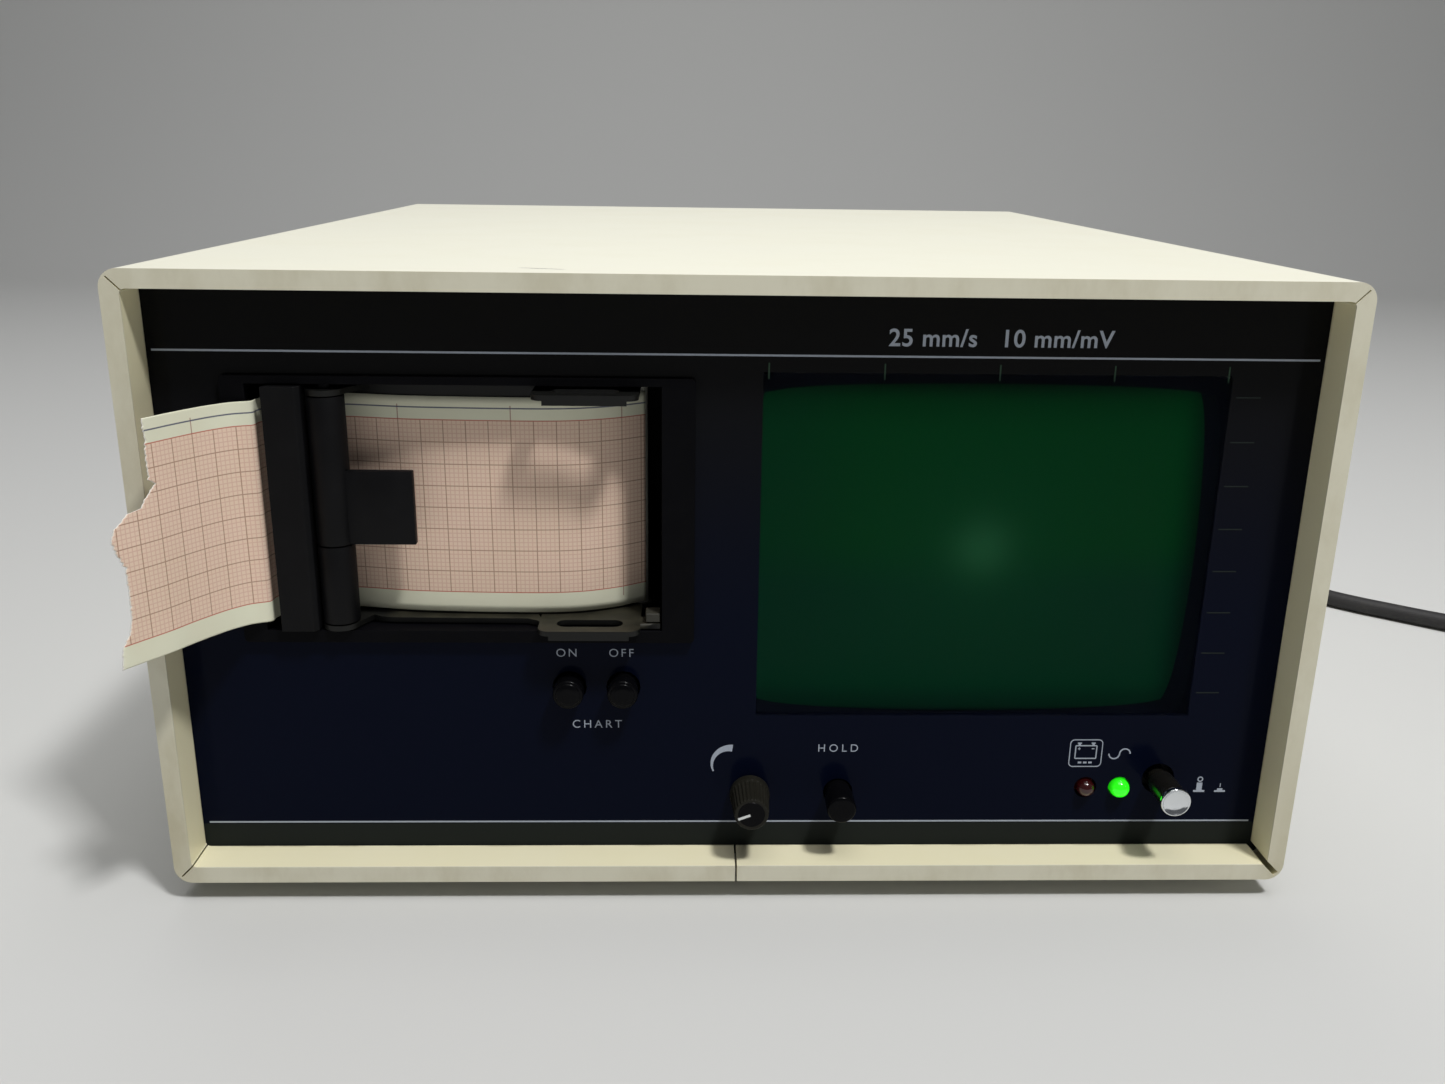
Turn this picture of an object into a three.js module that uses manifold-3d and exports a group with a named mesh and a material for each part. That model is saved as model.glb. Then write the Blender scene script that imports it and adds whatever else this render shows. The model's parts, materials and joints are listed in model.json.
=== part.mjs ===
// Bench heart monitor with a screen and a built-in strip-chart recorder.
// Millimetres, Z up, the front faces -Y. While it is built, y = 0 is the front face of the
// case and z = 0 its bottom sheet; the last lines move the whole to its resting place.
import * as THREE from 'three';
import { mergeVertices } from 'three/addons/utils/BufferGeometryUtils.js';
import Module from 'manifold-3d';

const wasm = await Module();
wasm.setup();

// Case: one wrapped sheet whose front edge is folded back twice
const caseWidth = 260;
const caseHeight = 140;
const caseDepth = 298;
const caseCorner = 4;
const sheet = 1.2;
const returnFace = 4;
const returnDepth = 9.5;
const seamWidth = 0.5;
const mitreWidth = 0.35;
const openMitreWidth = 1.3;
const mitreStart = 1.6;

// Clearances that many pieces share
const gap = 0.3;
const slideGap = 0.45;
const overrun = 1;
const hairline = 0.03;
const mergeDistance = 0.0001;

// Front stack
const fasciaThickness = 1.5;
const panelThickness = 1.5;
const fasciaFront = returnDepth + gap;
const fasciaBack = fasciaFront + fasciaThickness;
const panelFront = fasciaBack + gap;
const panelBack = panelFront + panelThickness;
const stackBack = panelBack + gap;
const innerHalfWidth = caseWidth / 2 - sheet - gap;
const innerLow = sheet + gap;
const innerHigh = caseHeight - sheet - gap;

// Tray, rear panel and feet
const trayThickness = 1.2;
const traySide = 20;
const rearInset = 4;
const rearThickness = 1.5;
const rearOuter = caseDepth - rearInset;
const rearInner = rearOuter - rearThickness;
const ventCount = 11;
const ventWidth = 3;
const ventLength = 46;
const ventPitch = 7;
const ventX = -62;
const ventDrop = 48;
const ventZ = caseHeight - ventDrop;
const footHeight = 5;
const footRadius = 8;
const footTipRadius = 6.6;
const footEdge = 1.2;
const footInsetX = 26;
const footInsetY = 30;

// Recorder frame
const recorderWidth = 101.1;
const recorderHeight = 60.6;
const recorderSide = 17.2;
const recorderTop = 22.7;
const recorderLeft = recorderSide - innerHalfWidth;
const recorderRight = recorderLeft + recorderWidth;
const recorderHigh = caseHeight - recorderTop;
const recorderLow = recorderHigh - recorderHeight;
const frameLeft = 5.3;
const frameRight = 7.3;
const frameLow = 2.9;
const frameHigh = 1.8;
const frameProud = 1.5;
const frameCorner = 1;
const collarWall = 0.8;
const collarBack = stackBack + gap;
const openLeft = recorderLeft + frameLeft;
const openRight = recorderRight - frameRight;
const openLow = recorderLow + frameLow;
const openHigh = recorderHigh - frameHigh;
const frameFront = fasciaFront - frameProud;
const housingLow = openLow - collarWall - gap;
const housingHigh = openHigh + collarWall + gap;

// Recorder bars, hinge and paper
const exitSlot = 3.7;
const tearBarWidth = 8.25;
const tearBarFront = 6.5;
const tearBarDepth = 4;
const tearEdge = 1.4;
const tearChamfer = 1.1;
const tearLeg = 4.8;
const tearLegWidth = 1.5;
const barGap = 0.25;
const postRadius = 4.05;
const pinRadius = 1.5;
const hingeSetback = 2.3;
const knuckleSplit = 20;
const tabReach = 14;
const tabHeight = 16.7;
const tabThickness = 2;
const tabSetback = 1;
const tearBarLeft = openLeft + exitSlot;
const hingeX = tearBarLeft + tearBarWidth + barGap + postRadius;
const hingeY = frameFront + hingeSetback;
const splitZ = openLow + knuckleSplit;

const paperWidth = 50;
const paperThickness = 0.25;
const paperLift = 2.25;
const paperLow = openLow + paperLift;
const paperHigh = paperLow + paperWidth;
const paperFront = 14.5;
const paperBow = 8.3;
const paperStart = -0.5;
const paperEnd = 4;
const bowShares = [
  [0, 0.392], [0.055, 0.42], [0.262, 0.13], [0.584, 0], [0.764, 0.085], [0.896, 0.46], [1, 1],
];

// Door
const doorSheet = 1.2;
const doorTrimShare = 0.93;
const earLeft = 44.5;
const earWidth = 22.9;
const earFront = 3.8;
const earLip = 2.2;
const earCorner = 2.5;
const slotLength = 15;
const slotWidth = 4.4;
const slotSetback = 3;
const flangeFront = [[2.9, 6.2], [5.5, 4.2], [8.2, 2.5], [11, 2], [41.6, 1.5], [43.9, 0.2], [46.2, -2.8]];
const guideRadius = 1.8;
const guideShaft = 0.9;
const guideLobe = 2.6;
const catchWidth = 3.3;
const catchDepth = 4.5;
const catchHeight = 2.1;
const catchFront = 0.6;
const catchGap = 0.4;
const doorClearance = 0.4;
const doorLow = openLow + doorClearance;
const doorHigh = paperHigh + gap + earLip;

// Recorder inside
const housingWall = 1.5;
const housingSide = 1.5;
const housingDepth = 58;
const platenRadius = 5.2;
const platenShaft = 1.5;
const nipSetback = 3.9;
const nipX = tearBarLeft + nipSetback;
const headWidth = 5;
const headNose = 1.6;
const rollInset = 59.3;
const rollX = recorderLeft + rollInset;
const rollY = 48;
const rollRadius = 19;
const spindleRadius = 6.2;
const coreRadius = spindleRadius + gap;
const spindleFlange = 12;
const spindleTaper = 1.6;
const motorRadius = 7.6;
const motorLength = 30;
const motorAngle = 75 * Math.PI / 180;
const motorBore = 3;
const motorShaft = 1;
const gearModule = 0.5;
const pressureAngle = 20 * Math.PI / 180;
const dedendumShare = 1.25;
const gearHeight = 3.5;
const gearBacklash = 0.14;
const platenTeeth = 32;
const motorTeeth = 22;
const gearDistance = gearModule * (platenTeeth + motorTeeth) / 2;

// Torn strip that hangs out at the left: plan places as shares of its span and of its depth,
// and its torn edge as shares of the paper's width and of the tear's depth
const stripSpan = 36.95;
const stripDepth = 40.26686;
const stripShares = [
  [0, 0], [0.06043, 0.0063], [0.17168, 0.02138], [0.20693, 0.02712], [0.27742, 0.05357],
  [0.3347, 0.10587], [0.36995, 0.16823], [0.37876, 0.23561], [0.43714, 0.26176], [0.49442, 0.29194],
  [0.57483, 0.36938], [0.64863, 0.46895], [0.71802, 0.57758], [0.76759, 0.66508],
  [0.81605, 0.73951], [0.88655, 0.83908], [0.94603, 0.92557], [1, 1],
];
const nipShare = 0.027117;
const tornDepth = 6.6;
const tornEnd = 1.5;
const tornShares = [
  [0, 0], [0.09, 0.05], [0.128, 0.18], [0.19, 0.27], [0.283, 0.29], [0.413, 0.29], [0.493, 0.14],
  [0.543, 0.09], [0.583, 0.18], [0.633, 0.44], [0.64, 0.68], [0.693, 0.85], [0.728, 1], [0.748, 0.89],
  [0.823, 0.88], [0.913, 0.91], [1, 0.89],
];
const stripX = hingeX + paperStart - slideGap;
const stripY = paperFront + bowShares[0][1] * paperBow;
const nipY = stripY - nipShare * stripDepth;
const platenY = nipY + paperThickness / 2 + gap + platenRadius;

// Screen tube
const windowGap = 14.5;
const windowInset = 13.5;
const windowDrop = 17.4;
const windowLeft = recorderRight + windowGap;
const windowRight = innerHalfWidth - windowInset;
const windowLow = 36;
const windowHigh = caseHeight - windowDrop;
const windowCorner = 3;
const faceMarginLeft = 0.6;
const faceMarginRight = 10.1;
const faceMarginLow = 3.1;
const faceMarginHigh = 4.5;
const faceWidth = Math.round(windowRight - windowLeft - faceMarginLeft - faceMarginRight);
const faceHeight = Math.round(windowHigh - windowLow - faceMarginLow - faceMarginHigh);
const screenX = windowLeft + faceMarginLeft + faceWidth / 2;
const screenZ = windowLow + faceMarginLow + faceHeight / 2;
const faceCorner = 14;
const faceBulge = 4;
const faceDepth = 18.5;
const faceSkirt = 12;
const funnelDepth = 66;
const neckRadius = 10.5;
const neckDepth = 150;
const tubeSides = 32;
const faceShares = [0.02, 0.35, 0.65, 0.88, 1];
const funnelShares = [0.35, 0.7, 1];
const funnelPower = 1.4;
const frameRim = 7;
const yokeFlare = 15;
const yokeWaist = 9;
const yokeLip = 3;
const yokeLength = 34;
const tubeBoard = 44;
const tubeBoardDepth = 12;
const tubeBoardCorner = 3;

// Front controls: places on the fascia, then sizes
const onInset = 28.6;
const offInset = 16.2;
const chartButtonDrop = 11.5;
const onX = recorderRight - onInset;
const offX = recorderRight - offInset;
const chartButtonZ = recorderLow - chartButtonDrop;
const chartButtonRadius = 3.5;
const chartButtonProud = 5.5;
const holdReach = 34.6;
const holdX = recorderRight + holdReach;
const holdZ = 18.1;
const holdRadius = 3.1;
const holdProud = 9.3;
const powerInset = 27.2;
const powerX = innerHalfWidth - powerInset;
const powerZ = 21.6;
const powerRadius = 3.5;
const powerProud = 12;
const powerHead = 7.5;
const powerStem = 2.3;
const powerCap = 1.2;
const capShares = [[0, 0.5], [0.6, 0.25], [0.88, 0], [1, 0.33]];
const powerTravel = 5;
const buttonTravel = 2;
const stemRadius = 1.4;
const stemLength = 5.4;
const domeShare = 0.35;
const domeShares = [[0, 0], [0.45, 0.1], [0.8, 0.45], [1, 1]];
const switchWidth = 9;
const switchHeight = 8;
const switchDepth = 10;
const powerSwitchWidth = 11;
const powerSwitchDepth = 26;
const knobReach = 13.5;
const knobX = recorderRight + knobReach;
const knobZ = 18;
const knobRadius = 4.5;
const knobProud = 10.8;
const knobShaft = 3;
const knobRibs = 18;
const knobRibDepth = 0.3;
const knobCollar = 2.5;
const knobFillet = 0.5;
const pointerAngle = 201.3 * Math.PI / 180;
const pointerWidth = 0.7;
const pointerDepth = 0.35;
const potRadius = 8;
const potDepth = 9;
const potBush = 3.6;
const ledRadius = 2.4;
const ledProud = 2.6;
const ledLength = 9;
const ledFlange = 2.9;
const ledInset = 44.6;
const ledPitch = 8.2;
const redX = innerHalfWidth - ledInset;
const greenX = redX + ledPitch;
const ledZ = 19.3;

// Electronics on the tray
const standoffHeight = 9;
const standoffRadius = 3;
const boardThickness = 1.6;
const boardInset = 5;
const boardSide = 6.5;
const boardMiddle = 10;
const boardWidth = innerHalfWidth - boardSide - boardMiddle;
const boardX = boardMiddle + boardWidth / 2;
const mainBoard = { x: -boardX, y: 152, width: boardWidth, depth: 124 };
const sweepBoard = { x: boardX, y: 156, width: boardWidth, depth: 116 };
const chipHeight = 4;
const mainPartShares = [
  [0.1, 0.12, 0.3, 0.1, 1], [0.1, 0.34, 0.3, 0.1, 1], [0.1, 0.56, 0.3, 0.1, 1],
  [0.52, 0.14, 0.14, 0.14, 1], [0.74, 0.14, 0.14, 0.14, 1], [0.52, 0.4, 0.36, 0.16, 1.2],
  [0.52, 0.68, 0.36, 0.08, 2.4], [0.14, 0.8, 0.62, 0.07, 2],
];
const sweepPartShares = [
  [0.1, 0.12, 0.1, 0.14, 4], [0.28, 0.12, 0.1, 0.14, 4], [0.48, 0.12, 0.4, 0.06, 5],
  [0.1, 0.44, 0.24, 0.26, 6], [0.46, 0.4, 0.14, 0.1, 1], [0.68, 0.4, 0.14, 0.1, 1],
  [0.46, 0.62, 0.36, 0.12, 1.5],
];
const transformerInset = 40.5;
const batteryReach = 47;
const batteryInset = 89.5;
const transformerX = transformerInset - innerHalfWidth;
const batteryLeft = transformerX + batteryReach;
const batteryWidth = innerHalfWidth - batteryInset - batteryLeft;
const batteryX = batteryLeft + batteryWidth / 2;
const transformer = { x: transformerX, y: 254, width: 56, depth: 48, height: 46, coil: 34 };
const battery = { x: batteryX, y: 254, width: batteryWidth, depth: 52, height: 60 };
const strapThickness = 1.2;
const strapWidth = 16;
const strapFoot = 8;
const windingCorner = 6;

// Rear fittings
const fuseInset = 70.5;
const fuseX = innerHalfWidth - fuseInset;
const fuseZ = 34;
const fuseRadius = 6.5;
const fuseProud = 9;
const fuseBody = 5.8;
const fuseLength = 26;
const fuseFillet = 1.5;
const socketPitch = 38;
const socketX = fuseX - socketPitch;
const socketZ = 40;
const socketRadius = 9.5;
const socketBore = 7;
const socketProud = 7;
const socketBody = 8.4;
const socketLength = 12;
const socketPin = 0.9;
const socketPinCircle = 4.4;
const socketPins = 5;
const reliefInset = 33.5;
const reliefX = innerHalfWidth - reliefInset;
const reliefZ = 30;
const reliefRadius = 6;
const reliefTip = 4.4;
const reliefLength = 32;
const reliefFlange = 8;
const reliefFlangeThickness = 2.4;
const reliefGrooves = 5;
const reliefGrooveDepth = 0.6;
const reliefRibShare = 0.6;

// Mains cord: places from the strain relief's axis on the rear panel, heights from the case's bottom
const cordRadius = 3.1;
const cordSides = 8;
const cordSteps = 36;
const tablePlane = -footHeight;
const coilX = 203;
const coilY = -197;
const coilTurns = 7;
const coilMiddle = 37;
const coilPitch = 6.75;
const coilLift = 1.6;
const coilSteps = 24;
const coilSides = 6;
const coilEntry = 52.6 * Math.PI / 180;
const tieWidth = 9;
const tieThickness = 0.9;
const tieAngle = 190 * Math.PI / 180;
const coilDip = 1.4;
const climbTurns = 0.5;
const cordRoute = [
  [0, 35, 30], [0, 47, 29.8], [0.6, 60, 28], [2.8, 73, 23.4], [7.4, 85, 16.4], [14.5, 94.6, 9],
  [24.2, 101.6, 3], [36, 105.4, -0.6], [49, 106, -1.8], [63, 103.6, -1.8], [77, 98, -1.8],
  [90, 90, -1.8], [102, 79, -1.8], [112, 66, -1.8], [119.6, 51, -1.8], [125, 35, -1.8],
  [128.6, 18, -1.8], [131, 1, -1.8], [132.8, -16, -1.8], [134.2, -33, -1.8], [135.6, -49, -1.8],
  [137.4, -64, -1.8], [140.4, -77, -1.8], [145.6, -88, -1.8], [153.4, -96.6, -1.8],
  [163.4, -105, -1.8], [175, -114.6, -1.7], [187.6, -124.6, -1.3], [200.6, -134.7, -0.8],
  [213.6, -144.5, -0.4], [227.1, -154.7, -0.3],
];
const plugWidth = 25;
const plugLength = 38;
const plugCorner = 7;
const plugWaist = 14;
const plugLead = 20;
const plugSides = 20;
const bladeLength = 17;
const bladeWidth = 6.3;
const bladeThickness = 1.5;
const bladeSpacing = 12.7;
const earthRadius = 2.4;
const earthLength = 20;
const earthDrop = 4.4;

// Finishes
const creamPaint = { color: 0xe9e5cf, roughness: 0.5, metalness: 0 };
const blackAcrylic = { color: 0x0b0d14, roughness: 0.18, metalness: 0 };
const blackMoulding = { color: 0x15161a, roughness: 0.55, metalness: 0 };
const olivePlate = { color: 0x3b3b30, roughness: 0.5, metalness: 0.3 };
const bareSteel = { color: 0xa9abae, roughness: 0.35, metalness: 1 };
const alloy = { color: 0xb9bcc0, roughness: 0.45, metalness: 1 };
const brightChrome = { color: 0xd9dde2, roughness: 0.08, metalness: 1 };
const blackRubber = { color: 0x1a1a1b, roughness: 0.8, metalness: 0 };
const chartPaper = { color: 0xe9d3c8, roughness: 0.8, metalness: 0 };
const rollPaper = { color: 0xece6dc, roughness: 0.85, metalness: 0 };
const paleNylon = { color: 0xbdbcae, roughness: 0.5, metalness: 0 };
const greenGlass = { color: 0x06402a, roughness: 0.15, metalness: 0 };
const boardGreen = { color: 0x1f5a34, roughness: 0.6, metalness: 0 };
const coilYellow = { color: 0xb98a2c, roughness: 0.6, metalness: 0 };
const cellBlue = { color: 0x2c4a74, roughness: 0.5, metalness: 0 };
const redLens = { color: 0x3a0808, roughness: 0.2, metalness: 0 };
const greenLens = { color: 0x2eff3c, roughness: 0.25, metalness: 0 };

const monitor = new THREE.Group();
const cordGroup = new THREE.Group();

// Vertices are shared, flat triangles dropped and the faces turned outwards
function closed(geometry) {
  const bare = new THREE.BufferGeometry();
  bare.setAttribute('position', geometry.getAttribute('position').clone());
  if (geometry.index) bare.setIndex(geometry.index.clone());
  const merged = mergeVertices(bare, mergeDistance);
  const place = merged.getAttribute('position');
  const corners = [new THREE.Vector3(), new THREE.Vector3(), new THREE.Vector3()];
  const kept = [];
  let volume = 0;
  for (let i = 0; i < merged.index.count; i += 3) {
    const face = [0, 1, 2].map((k) => merged.index.getX(i + k));
    if (new Set(face).size < 3) continue;
    face.forEach((vertex, k) => corners[k].fromBufferAttribute(place, vertex));
    volume += corners[0].dot(corners[1].clone().cross(corners[2]));
    kept.push(face);
  }
  merged.setIndex((volume < 0 ? kept.map((face) => face.reverse()) : kept).flat());
  merged.computeVertexNormals();
  return merged;
}

function solidOf(geometry) {
  const whole = closed(geometry);
  return new wasm.Manifold(new wasm.Mesh({
    numProp: 3,
    vertProperties: new Float32Array(whole.getAttribute('position').array),
    triVerts: new Uint32Array(whole.index.array),
  }));
}

function geometryOf(solid) {
  const mesh = solid.getMesh();
  const geometry = new THREE.BufferGeometry();
  geometry.setAttribute('position', new THREE.BufferAttribute(mesh.vertProperties, 3));
  geometry.setIndex(new THREE.BufferAttribute(mesh.triVerts, 1));
  geometry.computeVertexNormals();
  return geometry;
}

// The first geometry with the others joined on, or cut away
function joined(first, ...others) {
  return geometryOf(others.reduce((solid, other) => solid.add(solidOf(other)), solidOf(first)));
}

function cut(first, ...others) {
  return geometryOf(others.reduce((solid, other) => solid.subtract(solidOf(other)), solidOf(first)));
}

function piece(name, geometry, finish, x = 0, y = 0, z = 0, group = monitor) {
  const mesh = new THREE.Mesh(closed(geometry), new THREE.MeshStandardMaterial(finish));
  mesh.name = name;
  mesh.position.set(x, y, z);
  group.add(mesh);
  return mesh;
}

// Outlines
function rectangle(left, low, right, high) {
  const shape = new THREE.Shape();
  shape.moveTo(left, low);
  shape.lineTo(right, low);
  shape.lineTo(right, high);
  shape.lineTo(left, high);
  shape.closePath();
  return shape;
}

function roundedRectangle(left, low, right, high, radius) {
  const shape = new THREE.Shape();
  const quarter = Math.PI / 2;
  shape.moveTo(left + radius, low);
  shape.lineTo(right - radius, low);
  shape.absarc(right - radius, low + radius, radius, -quarter, 0);
  shape.lineTo(right, high - radius);
  shape.absarc(right - radius, high - radius, radius, 0, quarter);
  shape.lineTo(left + radius, high);
  shape.absarc(left + radius, high - radius, radius, quarter, 2 * quarter);
  shape.lineTo(left, low + radius);
  shape.absarc(left + radius, low + radius, radius, 2 * quarter, 3 * quarter);
  shape.closePath();
  return shape;
}

function circle(x, y, radius, sides = 16) {
  const points = [];
  for (let k = 0; k < sides; k += 1) {
    const angle = 2 * Math.PI * k / sides;
    points.push([x + radius * Math.cos(angle), y + radius * Math.sin(angle)]);
  }
  return polygon(points);
}

function withHoles(shape, ...holes) {
  shape.holes.push(...holes);
  return shape;
}

function polygon(points) {
  return new THREE.Shape(points.map(([x, y]) => new THREE.Vector2(x, y)));
}

// An outline in x and z with its thickness from y to y + depth
function standing(shape, y, depth, curveSegments = 3) {
  const geometry = new THREE.ExtrudeGeometry(shape, { depth, bevelEnabled: false, curveSegments });
  return geometry.rotateX(Math.PI / 2).translate(0, y + depth, 0);
}

// An outline in x and y with its height from z to z + height
function upright(shape, z, height, curveSegments = 3) {
  const settings = { depth: height, bevelEnabled: false, curveSegments };
  return new THREE.ExtrudeGeometry(shape, settings).translate(0, 0, z);
}

function box(left, front, low, right, back, high) {
  return upright(rectangle(left, front, right, back), low, high - low);
}

// Profiles of [radius, distance along the axis], turned about +Y or about +Z
function turnedInward(profile, sides = 20) {
  return new THREE.LatheGeometry(profile.map(([r, s]) => new THREE.Vector2(r, s)), sides);
}

function turnedUp(profile, sides = 20) {
  return turnedInward(profile, sides).rotateX(Math.PI / 2);
}

function rod(radius, low, high, sides = 12) {
  return turnedUp([[0, low], [radius, low], [radius, high], [0, high]], sides);
}

function inwardRod(radius, front, back, sides = 16) {
  return turnedInward([[0, front], [radius, front], [radius, back], [0, back]], sides);
}

// Closed skin through rings that have as many points each
function loft(rings) {
  const sides = rings[0].length;
  const points = rings.flat();
  const faces = [];
  const last = (rings.length - 1) * sides;
  for (let r = 0; r + 1 < rings.length; r += 1) {
    for (let k = 0; k < sides; k += 1) {
      const next = (k + 1) % sides;
      const a = r * sides;
      const b = a + sides;
      faces.push(a + k, a + next, b + next, a + k, b + next, b + k);
    }
  }
  for (let k = 1; k + 1 < sides; k += 1) {
    faces.push(0, k + 1, k, last, last + k, last + k + 1);
  }
  const geometry = new THREE.BufferGeometry().setFromPoints(points);
  geometry.setIndex(faces);
  return geometry;
}

// A sheet that follows a plan curve, between two offsets from it
function sheetOutline(points, inner, outer) {
  const sides = [[], []];
  points.forEach((point, i) => {
    const before = points[Math.max(i - 1, 0)];
    const after = points[Math.min(i + 1, points.length - 1)];
    const along = after.clone().sub(before).normalize();
    const across = new THREE.Vector2(-along.y, along.x);
    sides[0].push(point.clone().addScaledVector(across, inner));
    sides[1].push(point.clone().addScaledVector(across, outer));
  });
  return new THREE.Shape([...sides[0], ...sides[1].reverse()]);
}

function insetOutline(inset) {
  const half = caseWidth / 2 - inset;
  return roundedRectangle(-half, inset, half, caseHeight - inset, Math.max(caseCorner - inset, sheet));
}

// Case sleeve: wrapped sheet, folded front edge, seam below and a mitre cut in each corner
function makeSleeve() {
  const half = caseWidth / 2;
  const block = standing(insetOutline(0), 0, caseDepth, 4);
  const mouth = standing(insetOutline(returnFace), -overrun, returnDepth + 2 * overrun, 4);
  const behind = withHoles(insetOutline(sheet), insetOutline(returnFace - sheet));
  const groove = standing(behind, sheet, returnDepth - sheet + overrun, 4);
  const hollow = standing(insetOutline(sheet), returnDepth, caseDepth - returnDepth + overrun, 4);
  const seam = box(
    -seamWidth / 2,
    -overrun,
    -overrun,
    seamWidth / 2,
    caseDepth + overrun,
    returnFace + overrun,
  );
  const corners = [[-1, 1, mitreWidth], [1, 1, mitreWidth], [-1, -1, mitreWidth], [1, -1, openMitreWidth]];
  const mitres = corners.map(([sideX, sideZ, width]) => {
    const far = returnFace + overrun;
    const reach = (far - mitreStart) * Math.SQRT2;
    const middle = (far + mitreStart) / 2;
    const slit = box(-reach / 2, -overrun, -width / 2, reach / 2, returnDepth + overrun, width / 2);
    slit.rotateY(-sideX * sideZ * Math.PI / 4);
    const rise = caseHeight / 2 + sideZ * (caseHeight / 2 - middle);
    return slit.translate(sideX * (half - middle), 0, rise);
  });
  return piece('case_sleeve', cut(block, mouth, groove, hollow, seam, ...mitres), creamPaint);
}

// Fascia and panel share one outline and one set of holes
const insideOutline = () => roundedRectangle(
  -innerHalfWidth, innerLow, innerHalfWidth, innerHigh, caseCorner - sheet,
);

function frontHoles(extra) {
  const spread = collarWall + slideGap;
  return [
    rectangle(openLeft - spread, openLow - spread, openRight + spread, openHigh + spread),
    circle(onX, chartButtonZ, chartButtonRadius + slideGap),
    circle(offX, chartButtonZ, chartButtonRadius + slideGap),
    circle(holdX, holdZ, holdRadius + slideGap),
    circle(powerX, powerZ, powerRadius + slideGap),
    circle(knobX, knobZ, knobShaft + slideGap),
    circle(redX, ledZ, ledRadius + extra),
    circle(greenX, ledZ, ledRadius + extra),
  ];
}

function makeFasciaAndPanel() {
  const clear = withHoles(insideOutline(), ...frontHoles(gap));
  piece('front_fascia', standing(clear, fasciaFront, fasciaThickness, 4), blackAcrylic);
  const window = roundedRectangle(windowLeft, windowLow, windowRight, windowHigh, windowCorner);
  const backed = withHoles(insideOutline(), ...frontHoles(gap), window);
  piece('front_panel', standing(backed, panelFront, panelThickness, 4), alloy);
}

// Tray: a bottom sheet with turned-up sides and standoffs for the two boards
function makeTray() {
  const low = innerLow;
  const side = innerHalfWidth;
  const bend = caseCorner - sheet;
  const quarter = Math.PI / 2;
  const inside = bend - trayThickness;
  const profile = new THREE.Shape();
  profile.moveTo(-side, low + traySide);
  profile.absarc(-side + bend, low + bend, bend, 2 * quarter, 3 * quarter);
  profile.absarc(side - bend, low + bend, bend, 3 * quarter, 4 * quarter);
  profile.lineTo(side, low + traySide);
  profile.lineTo(side - trayThickness, low + traySide);
  profile.absarc(side - bend, low + bend, inside, 0, -quarter, true);
  profile.absarc(-side + bend, low + bend, inside, 3 * quarter, 2 * quarter, true);
  profile.lineTo(-side + trayThickness, low + traySide);
  profile.closePath();
  const tray = standing(profile, stackBack, rearInner - gap - stackBack);
  const posts = [mainBoard, sweepBoard].flatMap((board) => boardCorners(board).map(([x, y]) => (
    rod(standoffRadius, low + trayThickness / 2, low + trayThickness + standoffHeight, 8).translate(x, y, 0)
  )));
  piece('chassis_tray', joined(tray, ...posts), alloy);
}

function boardCorners(board) {
  const x = board.width / 2 - boardInset;
  const y = board.depth / 2 - boardInset;
  return [[-x, -y], [x, -y], [x, y], [-x, y]].map(([dx, dy]) => [board.x + dx, board.y + dy]);
}

// A board with blocks for its parts, given as shares of the board and heights in chip heights
function makeBoard(name, board, parts) {
  const low = innerLow + trayThickness + standoffHeight + gap;
  const left = board.x - board.width / 2;
  const front = board.y - board.depth / 2;
  const sheetBody = box(left, front, low, left + board.width, front + board.depth, low + boardThickness);
  const blocks = parts.map(([x, y, w, d, h]) => box(
    left + x * board.width,
    front + y * board.depth,
    low + boardThickness / 2,
    left + (x + w) * board.width,
    front + (y + d) * board.depth,
    low + boardThickness + h * chipHeight,
  ));
  piece(name, joined(sheetBody, ...blocks), boardGreen);
}

// Rear panel with a vent of upright slots and the holes of its fittings
function makeRearPanel() {
  const slots = [];
  for (let i = 0; i < ventCount; i += 1) {
    const x = ventX + (i - (ventCount - 1) / 2) * ventPitch;
    const low = ventZ - ventLength / 2;
    const half = ventWidth / 2;
    slots.push(roundedRectangle(x - half, low, x + half, low + ventLength, half - hairline));
  }
  const fittings = [
    circle(fuseX, fuseZ, fuseBody + gap),
    circle(socketX, socketZ, socketBody + gap),
    circle(reliefX, reliefZ, reliefRadius + gap),
  ];
  const plate = withHoles(insideOutline(), ...slots, ...fittings);
  piece('rear_panel', standing(plate, rearInner, rearThickness, 1), blackMoulding);
}

function makeFeet() {
  const profile = [
    [0, tablePlane], [footTipRadius - footEdge, tablePlane], [footTipRadius, tablePlane + footEdge],
    [footRadius, -gap - footEdge], [footRadius, -gap], [0, -gap],
  ];
  const places = [
    ['front_left_foot', -1, footInsetY],
    ['front_right_foot', 1, footInsetY],
    ['rear_left_foot', -1, caseDepth - footInsetY],
    ['rear_right_foot', 1, caseDepth - footInsetY],
  ];
  places.forEach(([name, side, y]) => {
    piece(name, turnedUp(profile, 18), blackRubber, side * (caseWidth / 2 - footInsetX), y, 0);
  });
}

// Recorder frame: a proud flange and a collar that passes through the fascia and the panel
function makeRecorderFrame() {
  const opening = rectangle(openLeft, openLow, openRight, openHigh);
  const flange = withHoles(
    roundedRectangle(recorderLeft, recorderLow, recorderRight, recorderHigh, frameCorner),
    opening,
  );
  const collar = withHoles(
    rectangle(openLeft - collarWall, openLow - collarWall, openRight + collarWall, openHigh + collarWall),
    opening,
  );
  const front = standing(flange, frameFront, frameProud - gap);
  const back = standing(collar, frameFront + frameProud / 2, collarBack - frameFront - frameProud / 2);
  const pinHole = rod(pinRadius + gap, housingLow, housingHigh);
  const bored = cut(joined(front, back), pinHole.translate(hingeX, hingeY, 0));
  piece('recorder_frame', bored, blackMoulding);
}

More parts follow.
